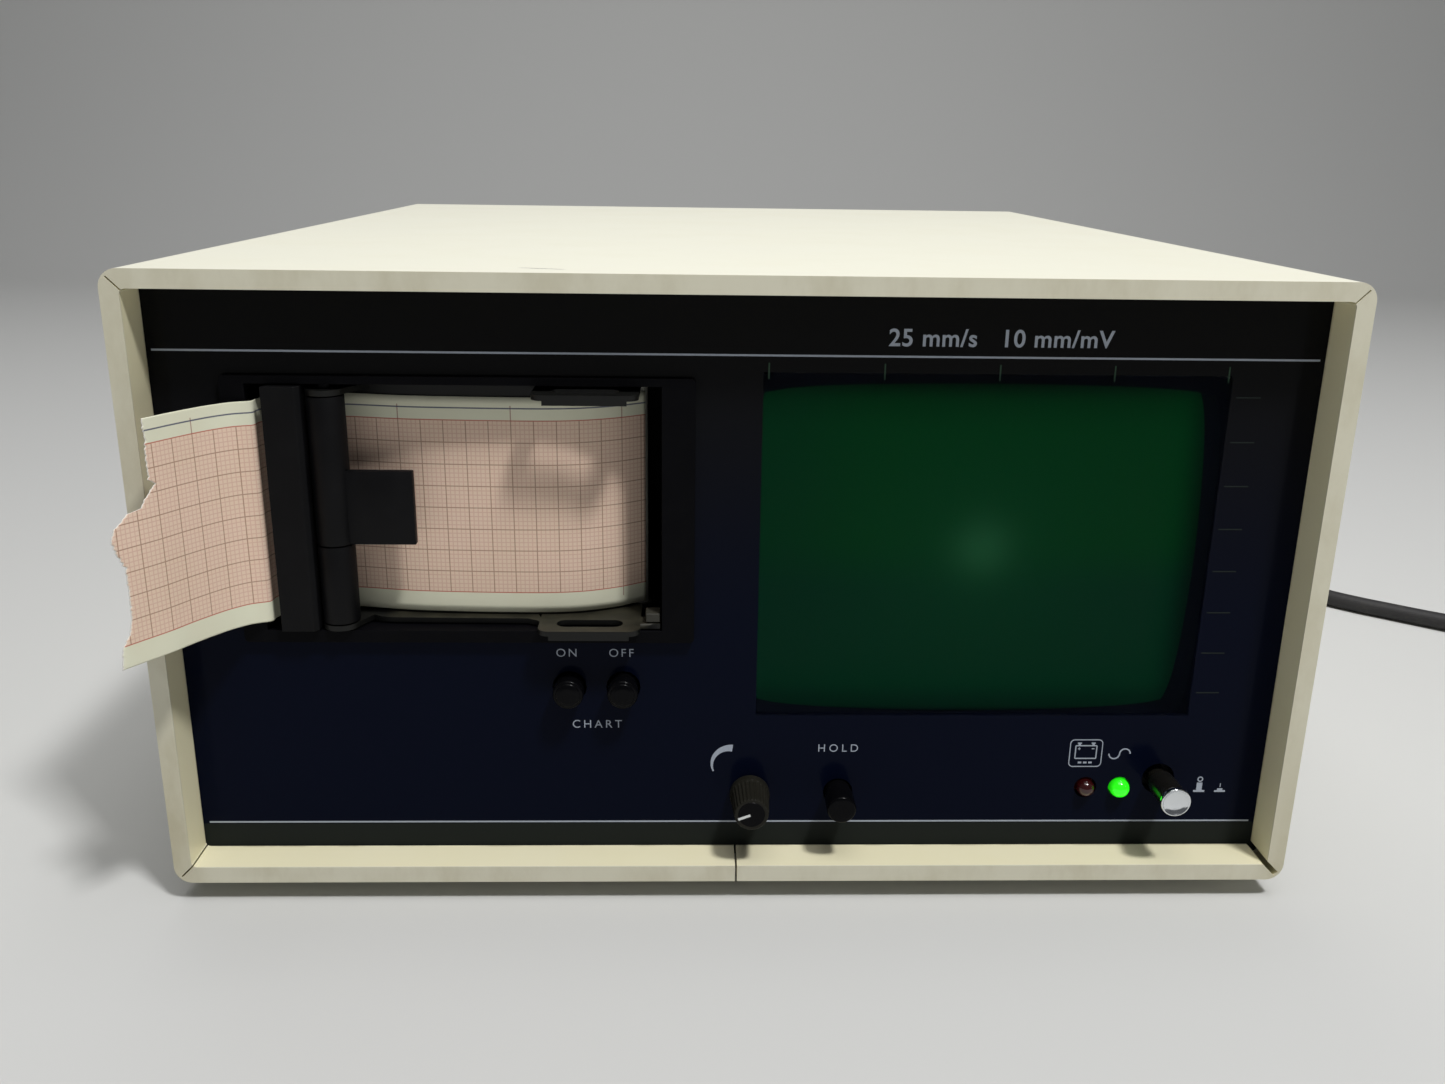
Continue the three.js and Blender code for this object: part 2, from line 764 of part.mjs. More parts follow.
// Housing behind the frame, open in front, bored for the platen shaft and the motor pinion
function makeHousing() {
  const left = openLeft - collarWall - gap - housingSide;
  const right = openRight + collarWall + gap + housingSide;
  const low = housingLow - housingWall;
  const high = housingHigh + housingWall;
  const back = stackBack + housingDepth;
  const shell = cut(
    box(left, stackBack, low, right, back, high),
    box(
      left + housingSide,
      stackBack - overrun,
      low + housingWall,
      right - housingSide,
      back - housingWall,
      high - housingWall,
    ),
    rod(platenShaft + gap, low - overrun, high + overrun).translate(nipX, platenY, 0),
    rod(motorShaft + gap, high - housingWall - overrun, high + overrun).translate(...motorPlace(), 0),
  );
  piece('recorder_housing', shell, blackMoulding);
}

function motorPlace() {
  return [
    nipX + gearDistance * Math.cos(motorAngle),
    platenY + gearDistance * Math.sin(motorAngle),
  ];
}

// Tear bar: its outer front edge is a sharp lip for tearing the chart, and a leg at its other
// side closes the slit beside the hinge post
function makeTearBar() {
  const right = tearBarLeft + tearBarWidth;
  const back = tearBarFront + tearBarDepth;
  const section = polygon([
    [tearBarLeft, tearBarFront], [right - tearChamfer, tearBarFront], [right, tearBarFront + tearChamfer],
    [right, back + tearLeg], [right - tearLegWidth, back + tearLeg], [right - tearLegWidth, back],
    [tearBarLeft + tearEdge, back],
  ]);
  const low = openLow + gap;
  piece('tear_bar', upright(section, low, openHigh - gap - low), blackMoulding);
}

function makeHinge() {
  const low = openLow - collarWall;
  const high = openHigh + collarWall;
  piece('hinge_pin', rod(pinRadius, low, high), bareSteel, hingeX, hingeY, 0);
  const ring = withHoles(circle(0, 0, postRadius), circle(0, 0, pinRadius + gap));
  const start = doorLow + doorSheet + gap;
  piece('hinge_post', upright(ring, start, splitZ - gap / 2 - start, 10), blackMoulding, hingeX, hingeY, 0);
}

// Paper clip: a knuckle on the hinge pin with a square tab that holds the chart against the door
function makePaperClip() {
  const low = splitZ + gap / 2;
  const high = doorHigh - doorSheet - gap;
  const ring = upright(circle(0, 0, postRadius), low, high - low, 10);
  const front = -postRadius + tabSetback + tabThickness / 2;
  const tab = box(0, front, low, postRadius + tabReach, front + tabThickness, low + tabHeight);
  const bore = rod(pinRadius + gap, low - overrun, high + overrun);
  piece('paper_clip', cut(joined(ring, tab), bore), blackMoulding, hingeX, hingeY, 0);
}

// Plan curve of the chart in the window, relative to the hinge
function windowCurve() {
  const span = openRight - paperEnd - hingeX - paperStart;
  const points = bowShares.map(([along, deep]) => new THREE.Vector2(
    paperStart + along * span,
    paperFront + deep * paperBow - hingeY,
  ));
  return new THREE.SplineCurve(points).getSpacedPoints(16);
}

function makeDoor() {
  const curve = windowCurve();
  const kept = curve.slice(0, Math.ceil(doorTrimShare * curve.length));
  const near = paperThickness / 2 + gap;
  const plate = upright(sheetOutline(kept, near, near + doorSheet), doorLow, doorHigh - doorLow);
  const end = curve[curve.length - 1];
  const along = end.clone().sub(curve[curve.length - 2]).normalize();
  const offset = guideRadius + near;
  const guide = new THREE.Vector2(end.x - along.y * offset, end.y + along.x * offset);
  const front = earFront - hingeY;
  const left = earLeft;
  const ear = (low, lip) => {
    const right = left + earWidth;
    const back = guide.y;
    const outline = roundedRectangle(left, front, right, back, earCorner);
    outline.holes.push(roundedRectangle(
      left + (earWidth - slotLength) / 2,
      front + slotSetback,
      left + (earWidth + slotLength) / 2,
      front + slotSetback + slotWidth,
      slotWidth / 2 - hairline,
    ));
    const lobe = circle(guide.x, guide.y, guideLobe);
    const lipStart = left + earCorner;
    return [
      upright(outline, low, doorSheet),
      upright(lobe, low, doorSheet),
      box(lipStart, front, lip, right - earCorner, front + doorSheet, low + doorSheet / 2),
    ];
  };
  const middle = near + doorSheet / 2;
  const lean = postRadius * Math.SQRT1_2;
  const arm = (low) => [
    upright(circle(0, 0, postRadius, 24), low, doorSheet),
    upright(polygon([
      [-lean, lean], [lean, -lean], [curve[2].x, curve[2].y + middle], [curve[0].x, curve[0].y + middle],
    ]), low, doorSheet),
  ];
  const topLow = doorHigh - doorSheet;
  const catchFoot = upright(rectangle(
    left + earWidth - earCorner,
    frameFront + catchFront - hingeY,
    openRight - catchGap - hingeX,
    frameFront + catchFront + catchDepth - hingeY,
  ), doorLow, doorSheet);
  const bores = [
    rod(pinRadius + gap, doorLow - overrun, doorHigh + overrun),
    rod(guideShaft + gap, doorLow - overrun, doorHigh + overrun).translate(guide.x, guide.y, 0),
  ];
  const flangeBack = curve.filter((point) => point.x > flangeFront[0][0] && point.x < earLeft + earCorner);
  const flange = upright(polygon([
    ...flangeFront,
    ...flangeBack.reverse().map((point) => [point.x, point.y + middle]),
  ]), doorLow, doorSheet);
  const body = joined(
    plate,
    flange,
    ...ear(topLow, topLow + doorSheet - earLip),
    ...ear(doorLow, doorLow + doorSheet - earLip),
    ...arm(topLow),
    ...arm(doorLow),
    catchFoot,
  );
  piece('paper_door', cut(body, ...bores), olivePlate, hingeX, hingeY, 0);
  const chart = sheetOutline(curve, -paperThickness / 2, paperThickness / 2);
  piece('chart_paper_window', upright(chart, paperLow, paperWidth), chartPaper, hingeX, hingeY, 0);
  const guideLow = doorLow + doorSheet + gap;
  const guideHigh = topLow - gap;
  const roller = turnedUp([
    [0, doorLow], [guideShaft, doorLow], [guideShaft, guideLow], [guideRadius, guideLow],
    [guideRadius, guideHigh], [guideShaft, guideHigh], [guideShaft, doorHigh], [0, doorHigh],
  ], 14);
  piece('guide_roller', roller, paleNylon, hingeX + guide.x, hingeY + guide.y, 0);
  const catchLeft = openRight - catchGap - catchWidth;
  const catchBody = box(
    catchLeft,
    frameFront + catchFront,
    doorLow + doorSheet + gap,
    openRight - catchGap,
    frameFront + catchFront + catchDepth,
    doorLow + doorSheet + gap + catchHeight,
  );
  piece('door_catch', catchBody, paleNylon);
}

// Involute gear outline; its first tooth points along the given angle
function gearOutline(teeth, angle) {
  const pitch = gearModule * teeth / 2;
  const base = pitch * Math.cos(pressureAngle);
  const outer = pitch + gearModule;
  const root = pitch - dedendumShare * gearModule;
  const involute = (a) => Math.tan(a) - a;
  const half = Math.PI / (2 * teeth) - gearBacklash / (2 * pitch);
  const flank = (radius) => {
    const pressed = Math.acos(Math.min(base / radius, 1));
    return half + involute(pressureAngle) - involute(pressed);
  };
  const steps = [Math.max(base, root), pitch, outer];
  const points = [];
  for (let tooth = 0; tooth < teeth; tooth += 1) {
    const middle = angle + 2 * Math.PI * tooth / teeth;
    const place = (radius, turn) => points.push([radius * Math.cos(turn), radius * Math.sin(turn)]);
    place(root, middle - flank(steps[0]));
    steps.forEach((radius) => place(radius, middle - flank(radius)));
    steps.slice().reverse().forEach((radius) => place(radius, middle + flank(radius)));
    place(root, middle + flank(steps[0]));
  }
  return polygon(points.filter(([x, y], i) => {
    const [px, py] = points[(i + points.length - 1) % points.length];
    return Math.hypot(x - px, y - py) > mergeDistance;
  }));
}

// Platen roller with its gear, and the motor with the pinion that turns it
function makePaperDrive() {
  const rubberLow = paperLow - gap;
  const rubberHigh = paperHigh + gap;
  const gearLow = housingHigh + housingWall + gap;
  const gearHigh = gearLow + gearHeight;
  const low = housingLow - housingWall;
  const roller = turnedUp([
    [0, low], [platenShaft, low], [platenShaft, rubberLow], [platenRadius, rubberLow],
    [platenRadius, rubberHigh], [platenShaft, rubberHigh], [platenShaft, gearHigh], [0, gearHigh],
  ], 24);
  piece('platen_roller', roller, blackRubber, nipX, platenY, 0);
  const [motorX, motorY] = motorPlace();
  const wheel = withHoles(gearOutline(platenTeeth, motorAngle), circle(0, 0, platenShaft + gap));
  piece('platen_gear', upright(wheel, gearLow, gearHeight, 4), paleNylon, nipX, platenY, 0);
  const facing = motorAngle + Math.PI + Math.PI / motorTeeth;
  const shaftLow = housingHigh - gap - motorBore + gap;
  const pinion = joined(
    upright(gearOutline(motorTeeth, facing), gearLow, gearHeight, 4),
    rod(motorShaft, shaftLow, gearLow + gearHeight / 2, 10),
  );
  piece('motor_pinion', pinion, bareSteel, motorX, motorY, 0);
  const top = housingHigh - gap;
  const bore = motorShaft + gap;
  const can = turnedUp([
    [0, top - motorLength], [motorRadius - gap, top - motorLength], [motorRadius, top - motorLength + gap],
    [motorRadius, top], [bore, top], [bore, top - motorBore - gap], [0, top - motorBore - gap],
  ], 20);
  piece('paper_motor', can, bareSteel, motorX, motorY, 0);
}

// Print head: a finned block behind the tear bar with a narrow nose that presses on the chart
function makePrintHead() {
  const front = tearBarFront + tearBarDepth + gap;
  const nose = nipY - paperThickness / 2 - gap;
  const shoulder = nose - headNose;
  const half = headWidth / 2;
  const section = polygon([
    [-half, front], [half, front], [half, shoulder], [headNose / 2, nose], [-headNose / 2, nose],
    [-half, shoulder],
  ]);
  piece('print_head', upright(section, paperLow, paperWidth), bareSteel, nipX, 0, 0);
}

function makePaperRoll() {
  const roll = turnedUp([
    [coreRadius, paperLow], [rollRadius, paperLow], [rollRadius, paperHigh], [coreRadius, paperHigh],
    [coreRadius, paperLow],
  ], 30);
  piece('paper_roll', roll, rollPaper, rollX, rollY, 0);
  const low = housingLow + gap;
  const flange = paperLow - gap;
  const tip = spindleRadius - spindleTaper;
  const spindle = turnedUp([
    [0, low], [spindleFlange, low], [spindleFlange, flange], [spindleRadius, flange],
    [spindleRadius, paperHigh - spindleTaper], [tip, paperHigh], [0, paperHigh],
  ], 20);
  piece('roll_spindle', spindle, blackMoulding, rollX, rollY, 0);
}

// Torn strip: it runs from behind the hinge post past the tear bar and hangs out in front
function makeStrip() {
  const places = stripShares.map(([across, out]) => (
    new THREE.Vector2(stripX - across * stripSpan, stripY - out * stripDepth)
  ));
  const points = new THREE.SplineCurve(places).getSpacedPoints(44);
  const half = paperThickness / 2;
  const whole = upright(sheetOutline(points, -half, half), paperLow, paperWidth);
  const tip = stripX - stripSpan + tornEnd;
  const ragged = tornShares.map(([up, inward]) => [tip + inward * tornDepth, paperLow + up * paperWidth]);
  const last = ragged[ragged.length - 1];
  const waste = polygon([
    [tip - tornDepth, paperLow - overrun], [ragged[0][0], paperLow - overrun], ...ragged,
    [last[0], paperHigh + overrun], [tip - tornDepth, paperHigh + overrun],
  ]);
  const torn = cut(whole, standing(waste, stripY - stripDepth - overrun, stripDepth));
  piece('chart_paper_strip', torn, chartPaper);
}

// Screen tube: a bulged face, a short skirt, a funnel and a neck, lofted through rounded rings
function tubeRing(width, height, corner, y, bulge = 0) {
  const shape = roundedRectangle(-width / 2, -height / 2, width / 2, height / 2, corner);
  const spaced = shape.getSpacedPoints(tubeSides).slice(0, tubeSides);
  return spaced.map((point) => {
    const reach = Math.hypot(2 * point.x / faceWidth, 2 * point.y / faceHeight);
    return new THREE.Vector3(point.x, y + bulge * Math.min(reach * reach / 2, 1), point.y);
  });
}

function makeTube() {
  const rings = faceShares.map((share) => (
    tubeRing(faceWidth * share, faceHeight * share, faceCorner * share, faceDepth, faceBulge)
  ));
  const funnelStart = faceDepth + faceSkirt;
  rings.push(tubeRing(faceWidth, faceHeight, faceCorner, funnelStart));
  const neck = 2 * neckRadius;
  const neckCorner = neckRadius - hairline;
  funnelShares.forEach((share) => {
    const shrink = 1 - Math.sin(share * Math.PI / 2) ** funnelPower;
    const width = neck + (faceWidth - neck) * shrink;
    const height = neck + (faceHeight - neck) * shrink;
    const corner = neckCorner + (faceCorner - neckCorner) * shrink;
    rings.push(tubeRing(width, height, corner, funnelStart + share * (funnelDepth - faceSkirt)));
  });
  rings.push(tubeRing(neck, neck, neckCorner, faceDepth + neckDepth));
  piece('screen_tube', loft(rings), greenGlass, screenX, 0, screenZ);
}

function makeTubeMounts() {
  const hole = roundedRectangle(
    screenX - faceWidth / 2 - gap,
    screenZ - faceHeight / 2 - gap,
    screenX + faceWidth / 2 + gap,
    screenZ + faceHeight / 2 + gap,
    faceCorner,
  );
  const rim = withHoles(roundedRectangle(
    screenX - faceWidth / 2 - frameRim,
    screenZ - faceHeight / 2 - frameRim,
    screenX + faceWidth / 2 + frameRim,
    screenZ + faceHeight / 2 + frameRim,
    faceCorner,
  ), hole);
  piece('tube_frame', standing(rim, stackBack, faceDepth + faceSkirt - stackBack), blackMoulding);
  const start = faceDepth + funnelDepth + gap;
  const inner = neckRadius + gap;
  const flare = inner + yokeFlare;
  const waist = inner + yokeWaist;
  const end = start + yokeLength;
  const yoke = turnedInward([
    [inner, start], [flare, start], [flare, start + yokeLip], [waist, start + yokeLip + yokeWaist / 2],
    [waist, end - yokeLip], [waist + yokeLip, end - yokeLip], [waist + yokeLip, end], [inner, end],
    [inner, start],
  ], 20);
  piece('deflection_yoke', yoke, coilYellow, screenX, 0, screenZ);
  const boardY = faceDepth + neckDepth + gap;
  const half = tubeBoard / 2;
  const plate = standing(roundedRectangle(-half, -half, half, half, tubeBoardCorner), boardY, boardThickness);
  const base = inwardRod(neckRadius, boardY + boardThickness / 2, boardY + tubeBoardDepth);
  piece('tube_base_board', joined(plate, base), boardGreen, screenX, 0, screenZ);
}

// Power supply on the tray
function makeTransformer() {
  const low = innerLow + trayThickness + gap;
  const { x, y, width, depth, height, coil } = transformer;
  const core = box(-width / 2, -depth / 4, low, width / 2, depth / 4, low + height);
  const winding = upright(
    roundedRectangle(-coil / 2, -depth / 2, coil / 2, depth / 2, windingCorner),
    low + (height - coil) / 2,
    coil,
  );
  const reach = width / 2 + strapFoot;
  const foot = box(-reach, -depth / 4, low, reach, depth / 4, low + strapThickness);
  piece('mains_transformer', joined(core, winding, foot), bareSteel, x, y, 0);
}

function makeBattery() {
  const low = innerLow + trayThickness + gap;
  const { x, y, width, depth, height } = battery;
  const outline = roundedRectangle(-width / 2, -depth / 2, width / 2, depth / 2, windingCorner);
  piece('battery_pack', upright(outline, low, height), cellBlue, x, y, 0);
  const side = width / 2 + gap;
  const top = low + height + gap;
  const out = side + strapThickness;
  const section = polygon([
    [-out - strapFoot, low], [-side, low], [-side, top], [side, top], [side, low], [out + strapFoot, low],
    [out + strapFoot, low + strapThickness], [out, low + strapThickness], [out, top + strapThickness],
    [-out, top + strapThickness], [-out, low + strapThickness], [-out - strapFoot, low + strapThickness],
  ]);
  piece('battery_strap', standing(section, -strapWidth / 2, strapWidth), alloy, x, y, 0);
}

// Push buttons: a domed cap that runs through the fascia, with a stem in its switch
function makeButton(name, x, z, radius, proud) {
  const tip = fasciaFront - proud;
  const dome = radius * domeShare;
  const back = stackBack + gap;
  const profile = [
    ...domeShares.map(([across, deep]) => [radius * across, tip + dome * deep]),
    [radius, back], [stemRadius, back], [stemRadius, back + stemLength], [0, back + stemLength],
  ];
  piece(name, turnedInward(profile, 18), blackMoulding, x, 0, z);
}

function makeSwitch(name, x, z) {
  const front = stackBack + gap + buttonTravel + gap;
  const stemEnd = stackBack + gap + stemLength;
  const outline = rectangle(-switchWidth / 2, -switchHeight / 2, switchWidth / 2, switchHeight / 2);
  const bore = inwardRod(stemRadius + gap, front - overrun, stemEnd + buttonTravel + gap, 12);
  piece(name, cut(standing(outline, front, switchDepth), bore), blackMoulding, x, 0, z);
}

function makeButtons() {
  const momentary = [
    ['run_button', 'run_switch', onX, chartButtonZ, chartButtonRadius, chartButtonProud],
    ['stop_button', 'stop_switch', offX, chartButtonZ, chartButtonRadius, chartButtonProud],
    ['hold_button', 'hold_switch', holdX, holdZ, holdRadius, holdProud],
  ];
  momentary.forEach(([button, switchName, x, z, radius, proud]) => {
    makeButton(button, x, z, radius, proud);
    makeSwitch(switchName, x, z);
  });
  const tip = fasciaFront - powerProud;
  const end = stackBack + gap + stemLength + powerTravel;
  const cap = tip + powerCap;
  const shoulder = tip + powerHead;
  const body = turnedInward([
    [0, cap + gap], [powerRadius, cap + gap], [powerRadius, shoulder], [powerStem, shoulder + powerStem / 2],
    [powerStem, end], [0, end],
  ], 24);
  piece('power_button', body, blackMoulding, powerX, 0, powerZ);
  const disc = turnedInward([
    ...capShares.map(([across, deep]) => [powerRadius * across, tip + powerCap * deep]),
    [powerRadius, cap], [0, cap],
  ], 24);
  piece('power_button_cap', disc, brightChrome, powerX, 0, powerZ);
  const width = powerSwitchWidth;
  const depth = powerSwitchDepth;
  const front = stackBack + gap;
  const housing = standing(rectangle(-width / 2, -width / 2, width / 2, width / 2), front, depth);
  const bore = inwardRod(powerStem + gap, front - overrun, end + powerTravel + gap, 16);
  piece('power_switch', cut(housing, bore), blackMoulding, powerX, 0, powerZ);
}

// Ribbed knob with a pointer groove across its face, and the control that it turns
function makeKnob() {
  const tip = fasciaFront - knobProud;
  const back = fasciaFront - gap;
  const ribbed = new THREE.Shape();
  const steps = 4 * knobRibs;
  for (let i = 0; i < steps; i += 1) {
    const angle = 2 * Math.PI * i / steps;
    const radius = knobRadius - (i % 4 < 2 ? 0 : knobRibDepth);
    const place = [radius * Math.cos(angle), radius * Math.sin(angle)];
    if (i === 0) ribbed.moveTo(...place);
    else ribbed.lineTo(...place);
  }
  ribbed.closePath();
  const barrel = standing(ribbed, tip + knobFillet, back - knobCollar - tip - knobFillet);
  const crown = turnedInward([
    [0, tip], [knobRadius - knobRibDepth - knobFillet, tip], [knobRadius - knobRibDepth, tip + knobFillet],
    [knobRadius - knobRibDepth, back - knobCollar - knobFillet], [knobRadius, back - knobCollar],
    [knobRadius, back], [0, back],
  ], 36);
  const shaft = inwardRod(knobShaft, back - knobFillet, stackBack + potDepth);
  const groove = standing(
    rectangle(0, -pointerWidth / 2, knobRadius + overrun, pointerWidth / 2),
    tip - overrun,
    overrun + pointerDepth,
  ).rotateY(-pointerAngle);
  piece('size_knob', cut(joined(barrel, crown, shaft), groove), blackMoulding, knobX, 0, knobZ);
  const can = inwardRod(potRadius, stackBack, stackBack + potDepth + potBush, 24);
  const bore = inwardRod(knobShaft + gap, stackBack - overrun, stackBack + potDepth + gap);
  piece('size_control', cut(can, bore), alloy, knobX, 0, knobZ);
}

function makeLamp(name, x, finish) {
  const tip = fasciaFront - ledProud;
  const dome = [0, 1, 2, 3, 4].map((k) => {
    const angle = k * Math.PI / 8;
    return [ledRadius * Math.sin(angle), tip + ledRadius * (1 - Math.cos(angle))];
  });
  const back = stackBack;
  const profile = [
    ...dome, [ledRadius, back], [ledFlange, back], [ledFlange, back + gap], [ledRadius, back + gap],
    [ledRadius, tip + ledRadius + ledLength], [0, tip + ledRadius + ledLength],
  ];
  piece(name, turnedInward(profile, 14), finish, x, 0, ledZ);
}

// Rear fittings: fuse holder with a screwdriver slot, patient cable socket and the strain relief
function makeFuseHolder() {
  const fuse = turnedInward([
    [0, rearInner - fuseLength], [fuseBody, rearInner - fuseLength], [fuseBody, rearOuter + gap],
    [fuseRadius, rearOuter + gap], [fuseRadius, rearOuter + fuseProud - fuseFillet],
    [fuseRadius - fuseFillet, rearOuter + fuseProud], [0, rearOuter + fuseProud],
  ], 24);
  const face = rearOuter + fuseProud;
  const half = fuseFillet / 2;
  const slot = box(-fuseRadius, face - fuseFillet, -half, fuseRadius, face + overrun, half);
  piece('fuse_holder', cut(fuse, slot), blackMoulding, fuseX, 0, fuseZ);
}

function makePatientSocket() {
  const face = rearOuter + socketProud;
  const floor = face - socketLength;
  const shell = turnedInward([
    [0, floor - socketProud], [socketBody, floor - socketProud], [socketBody, rearOuter + gap],
    [socketRadius, rearOuter + gap], [socketRadius, face], [socketBore, face], [socketBore, floor],
    [0, floor],
  ], 20);
  const pins = [];
  for (let i = 0; i < socketPins; i += 1) {
    const angle = 2 * Math.PI * (i + 0.5) / socketPins;
    const pin = inwardRod(socketPin, floor - overrun, floor + socketLength / 2, 8);
    pins.push(pin.translate(socketPinCircle * Math.cos(angle), 0, socketPinCircle * Math.sin(angle)));
  }
  piece('patient_socket', joined(shell, ...pins), bareSteel, socketX, 0, socketZ);
}

function makeStrainRelief() {
  const inner = rearInner - rearOuter;
  const profile = [
    [0, inner - reliefFlangeThickness], [reliefFlange, inner - reliefFlangeThickness],
    [reliefFlange, inner - gap], [reliefRadius, inner - gap], [reliefRadius, gap],
    [reliefFlange, gap], [reliefFlange, gap + reliefFlangeThickness],
  ];
  const start = gap + reliefFlangeThickness;
  for (let i = 0; i <= reliefGrooves; i += 1) {
    const share = i / (reliefGrooves + 1);
    const radius = reliefRadius + (reliefTip - reliefRadius) * share;
    const step = reliefLength / (reliefGrooves + 1);
    const ribEnd = start + (i + reliefRibShare) * step;
    profile.push([radius, start + i * step], [radius, ribEnd]);
    if (i < reliefGrooves) {
      const floor = radius - reliefGrooveDepth;
      profile.push([floor, ribEnd], [floor, start + (i + 1) * step]);
    }
  }
  profile.push([reliefTip, start + reliefLength], [0, start + reliefLength]);
  piece('strain_relief', turnedInward(profile, 12), blackRubber, 0, 0, reliefZ, cordGroup);
}

// Coil of spare cord: it spirals in on the lower layer, climbs in half a turn and spirals out on top
const turns = coilTurns + coilEntry / (2 * Math.PI);
const inward = (turns - climbTurns) / 2;
const coilSpread = coilPitch * inward / 2;

function coilCentres() {
  const low = tablePlane + coilLift + cordRadius;
  const count = Math.round(turns * coilSteps);
  const centres = [];
  for (let i = 0; i <= count; i += 1) {
    const turn = turns * i / count;
    const climb = Math.min(Math.max((turn - inward) / climbTurns, 0), 1);
    const dip = coilDip * Math.sin(Math.PI * climb);
    const spiral = turn <= inward ? turn : Math.max(turns - turn, 0);
    const radius = coilMiddle + coilSpread - coilPitch * Math.min(spiral, inward) - dip;
    const rise = coilPitch * (1 - Math.cos(Math.PI * climb)) / 2;
    const angle = coilEntry - 2 * Math.PI * turn;
    const x = coilX + radius * Math.cos(angle);
    const y = coilY + radius * Math.sin(angle);
    centres.push({ at: new THREE.Vector3(x, y, low + rise), angle });
  }
  const first = centres[0];
  const last = centres[centres.length - 1];
  const along = (angle) => new THREE.Vector3(Math.sin(angle), -Math.cos(angle), 0);
  const before = first.at.clone().addScaledVector(along(first.angle), -2 * cordRadius);
  const after = last.at.clone().addScaledVector(along(last.angle), plugLead);
  centres.unshift({ at: before, angle: first.angle });
  centres.push({ at: after, angle: last.angle });
  return centres;
}

function makeCord() {
  const section = new THREE.Shape();
  for (let k = 0; k < cordSides; k += 1) {
    const angle = 2 * Math.PI * k / cordSides;
    const place = [cordRadius * Math.cos(angle), cordRadius * Math.sin(angle)];
    if (k === 0) section.moveTo(...place);
    else section.lineTo(...place);
  }
  section.closePath();
  const extrudePath = new THREE.CatmullRomCurve3(cordRoute.map((point) => new THREE.Vector3(...point)));
  const tube = new THREE.ExtrudeGeometry(section, { steps: cordSteps, extrudePath, bevelEnabled: false });
  piece('mains_cord', tube, blackRubber, 0, 0, 0, cordGroup);
  const centres = coilCentres();
  const rings = centres.map(({ at, angle }) => {
    const ring = [];
    for (let k = 0; k < coilSides; k += 1) {
      const turn = 2 * Math.PI * (k + 0.5) / coilSides;
      const out = cordRadius * Math.cos(turn);
      const rise = cordRadius * Math.sin(turn);
      ring.push(new THREE.Vector3(out * Math.cos(angle), out * Math.sin(angle), rise).add(at));
    }
    return ring;
  });
  piece('mains_cord_coil', loft(rings), blackRubber, 0, 0, 0, cordGroup);
  let least = Infinity;
  centres.forEach((a, i) => centres.forEach((b, j) => {
    if (j > i + coilSteps / 3) least = Math.min(least, a.at.distanceTo(b.at));
  }));
  let length = 0;
  centres.forEach(({ at }, i) => {
    if (i > 0) length += at.distanceTo(centres[i - 1].at);
  });
  console.log('coil: least gap to itself', (least - 2 * cordRadius).toFixed(2), 'length', length.toFixed(0));
  console.log('free stretch length', extrudePath.getLength().toFixed(0));
}

// Strap round the bundle of turns
function makeTie() {
  const inner = coilMiddle - coilSpread - coilDip - cordRadius - gap;
  const outer = coilMiddle + coilSpread + cordRadius + gap;
  const low = tablePlane + coilLift - gap;
  const high = tablePlane + coilLift + 2 * cordRadius + coilPitch + gap;
  const band = withHoles(
    roundedRectangle(
      inner - tieThickness,
      low - tieThickness,
      outer + tieThickness,
      high + tieThickness,
      cordRadius + tieThickness,
    ),
    roundedRectangle(inner, low, outer, high, cordRadius / 2),
  );
  const ring = standing(band, -tieWidth / 2, tieWidth, 2).rotateZ(tieAngle);
  piece('cord_tie', ring, blackRubber, coilX, coilY, 0, cordGroup);
}

// Moulded mains plug: a tapered sleeve, a rounded body, two flat blades and a round earth pin
function makePlug() {
  const start = coilY - plugLead - gap;
  const rise = tablePlane + coilLift + cordRadius + coilPitch;
  const height = 2 * (rise - tablePlane);
  const ring = (width, tall, corner, y) => {
    const shape = roundedRectangle(-width / 2, -tall / 2, width / 2, tall / 2, corner);
    const points = shape.getSpacedPoints(plugSides).slice(0, plugSides);
    return points.map((point) => new THREE.Vector3(point.x, y, point.y));
  };
  const thin = 2 * cordRadius + 2 * tieThickness;
  const rings = [
    ring(thin, thin, thin / 2 - hairline, 0),
    ring(plugWaist, plugWaist, plugWaist / 2 - hairline, -plugWaist),
    ring(plugWidth - plugCorner / 2, height - plugCorner / 2, plugCorner, -plugWaist - plugCorner / 2),
    ring(plugWidth, height, plugCorner, -plugWaist - plugCorner),
    ring(plugWidth, height, plugCorner, -plugWaist - plugLength + plugCorner / 2),
    ring(plugWidth - plugCorner / 2, height - plugCorner / 2, plugCorner, -plugWaist - plugLength),
  ];
  const face = -plugWaist - plugLength;
  const blades = [-1, 1].map((side) => box(
    side * bladeSpacing / 2 - bladeThickness / 2,
    face - bladeLength,
    -bladeWidth / 2 + earthDrop / 2,
    side * bladeSpacing / 2 + bladeThickness / 2,
    face + overrun,
    bladeWidth / 2 + earthDrop / 2,
  ));
  const earth = inwardRod(earthRadius, face - earthLength, face + overrun, 14).translate(0, 0, -earthDrop);
  const plug = joined(loft(rings), ...blades, earth);
  piece('mains_plug', plug, blackRubber, coilX + coilMiddle + coilSpread, start, rise, cordGroup);
}

makeSleeve();
makeFasciaAndPanel();
makeTray();
makeBoard('main_board', mainBoard, mainPartShares);
makeBoard('sweep_board', sweepBoard, sweepPartShares);
makeRearPanel();
makeFeet();
makeRecorderFrame();
makeHousing();
makeTearBar();
makeHinge();
makePaperClip();
makeDoor();
makePaperDrive();
makePrintHead();
makePaperRoll();
makeStrip();
makeTube();
makeTubeMounts();
makeTransformer();
makeBattery();
makeButtons();
makeKnob();
makeLamp('battery_lamp', redX, redLens);
makeLamp('mains_lamp', greenX, greenLens);
makeFuseHolder();
makePatientSocket();
makeStrainRelief();
makeCord();
makeTie();
makePlug();

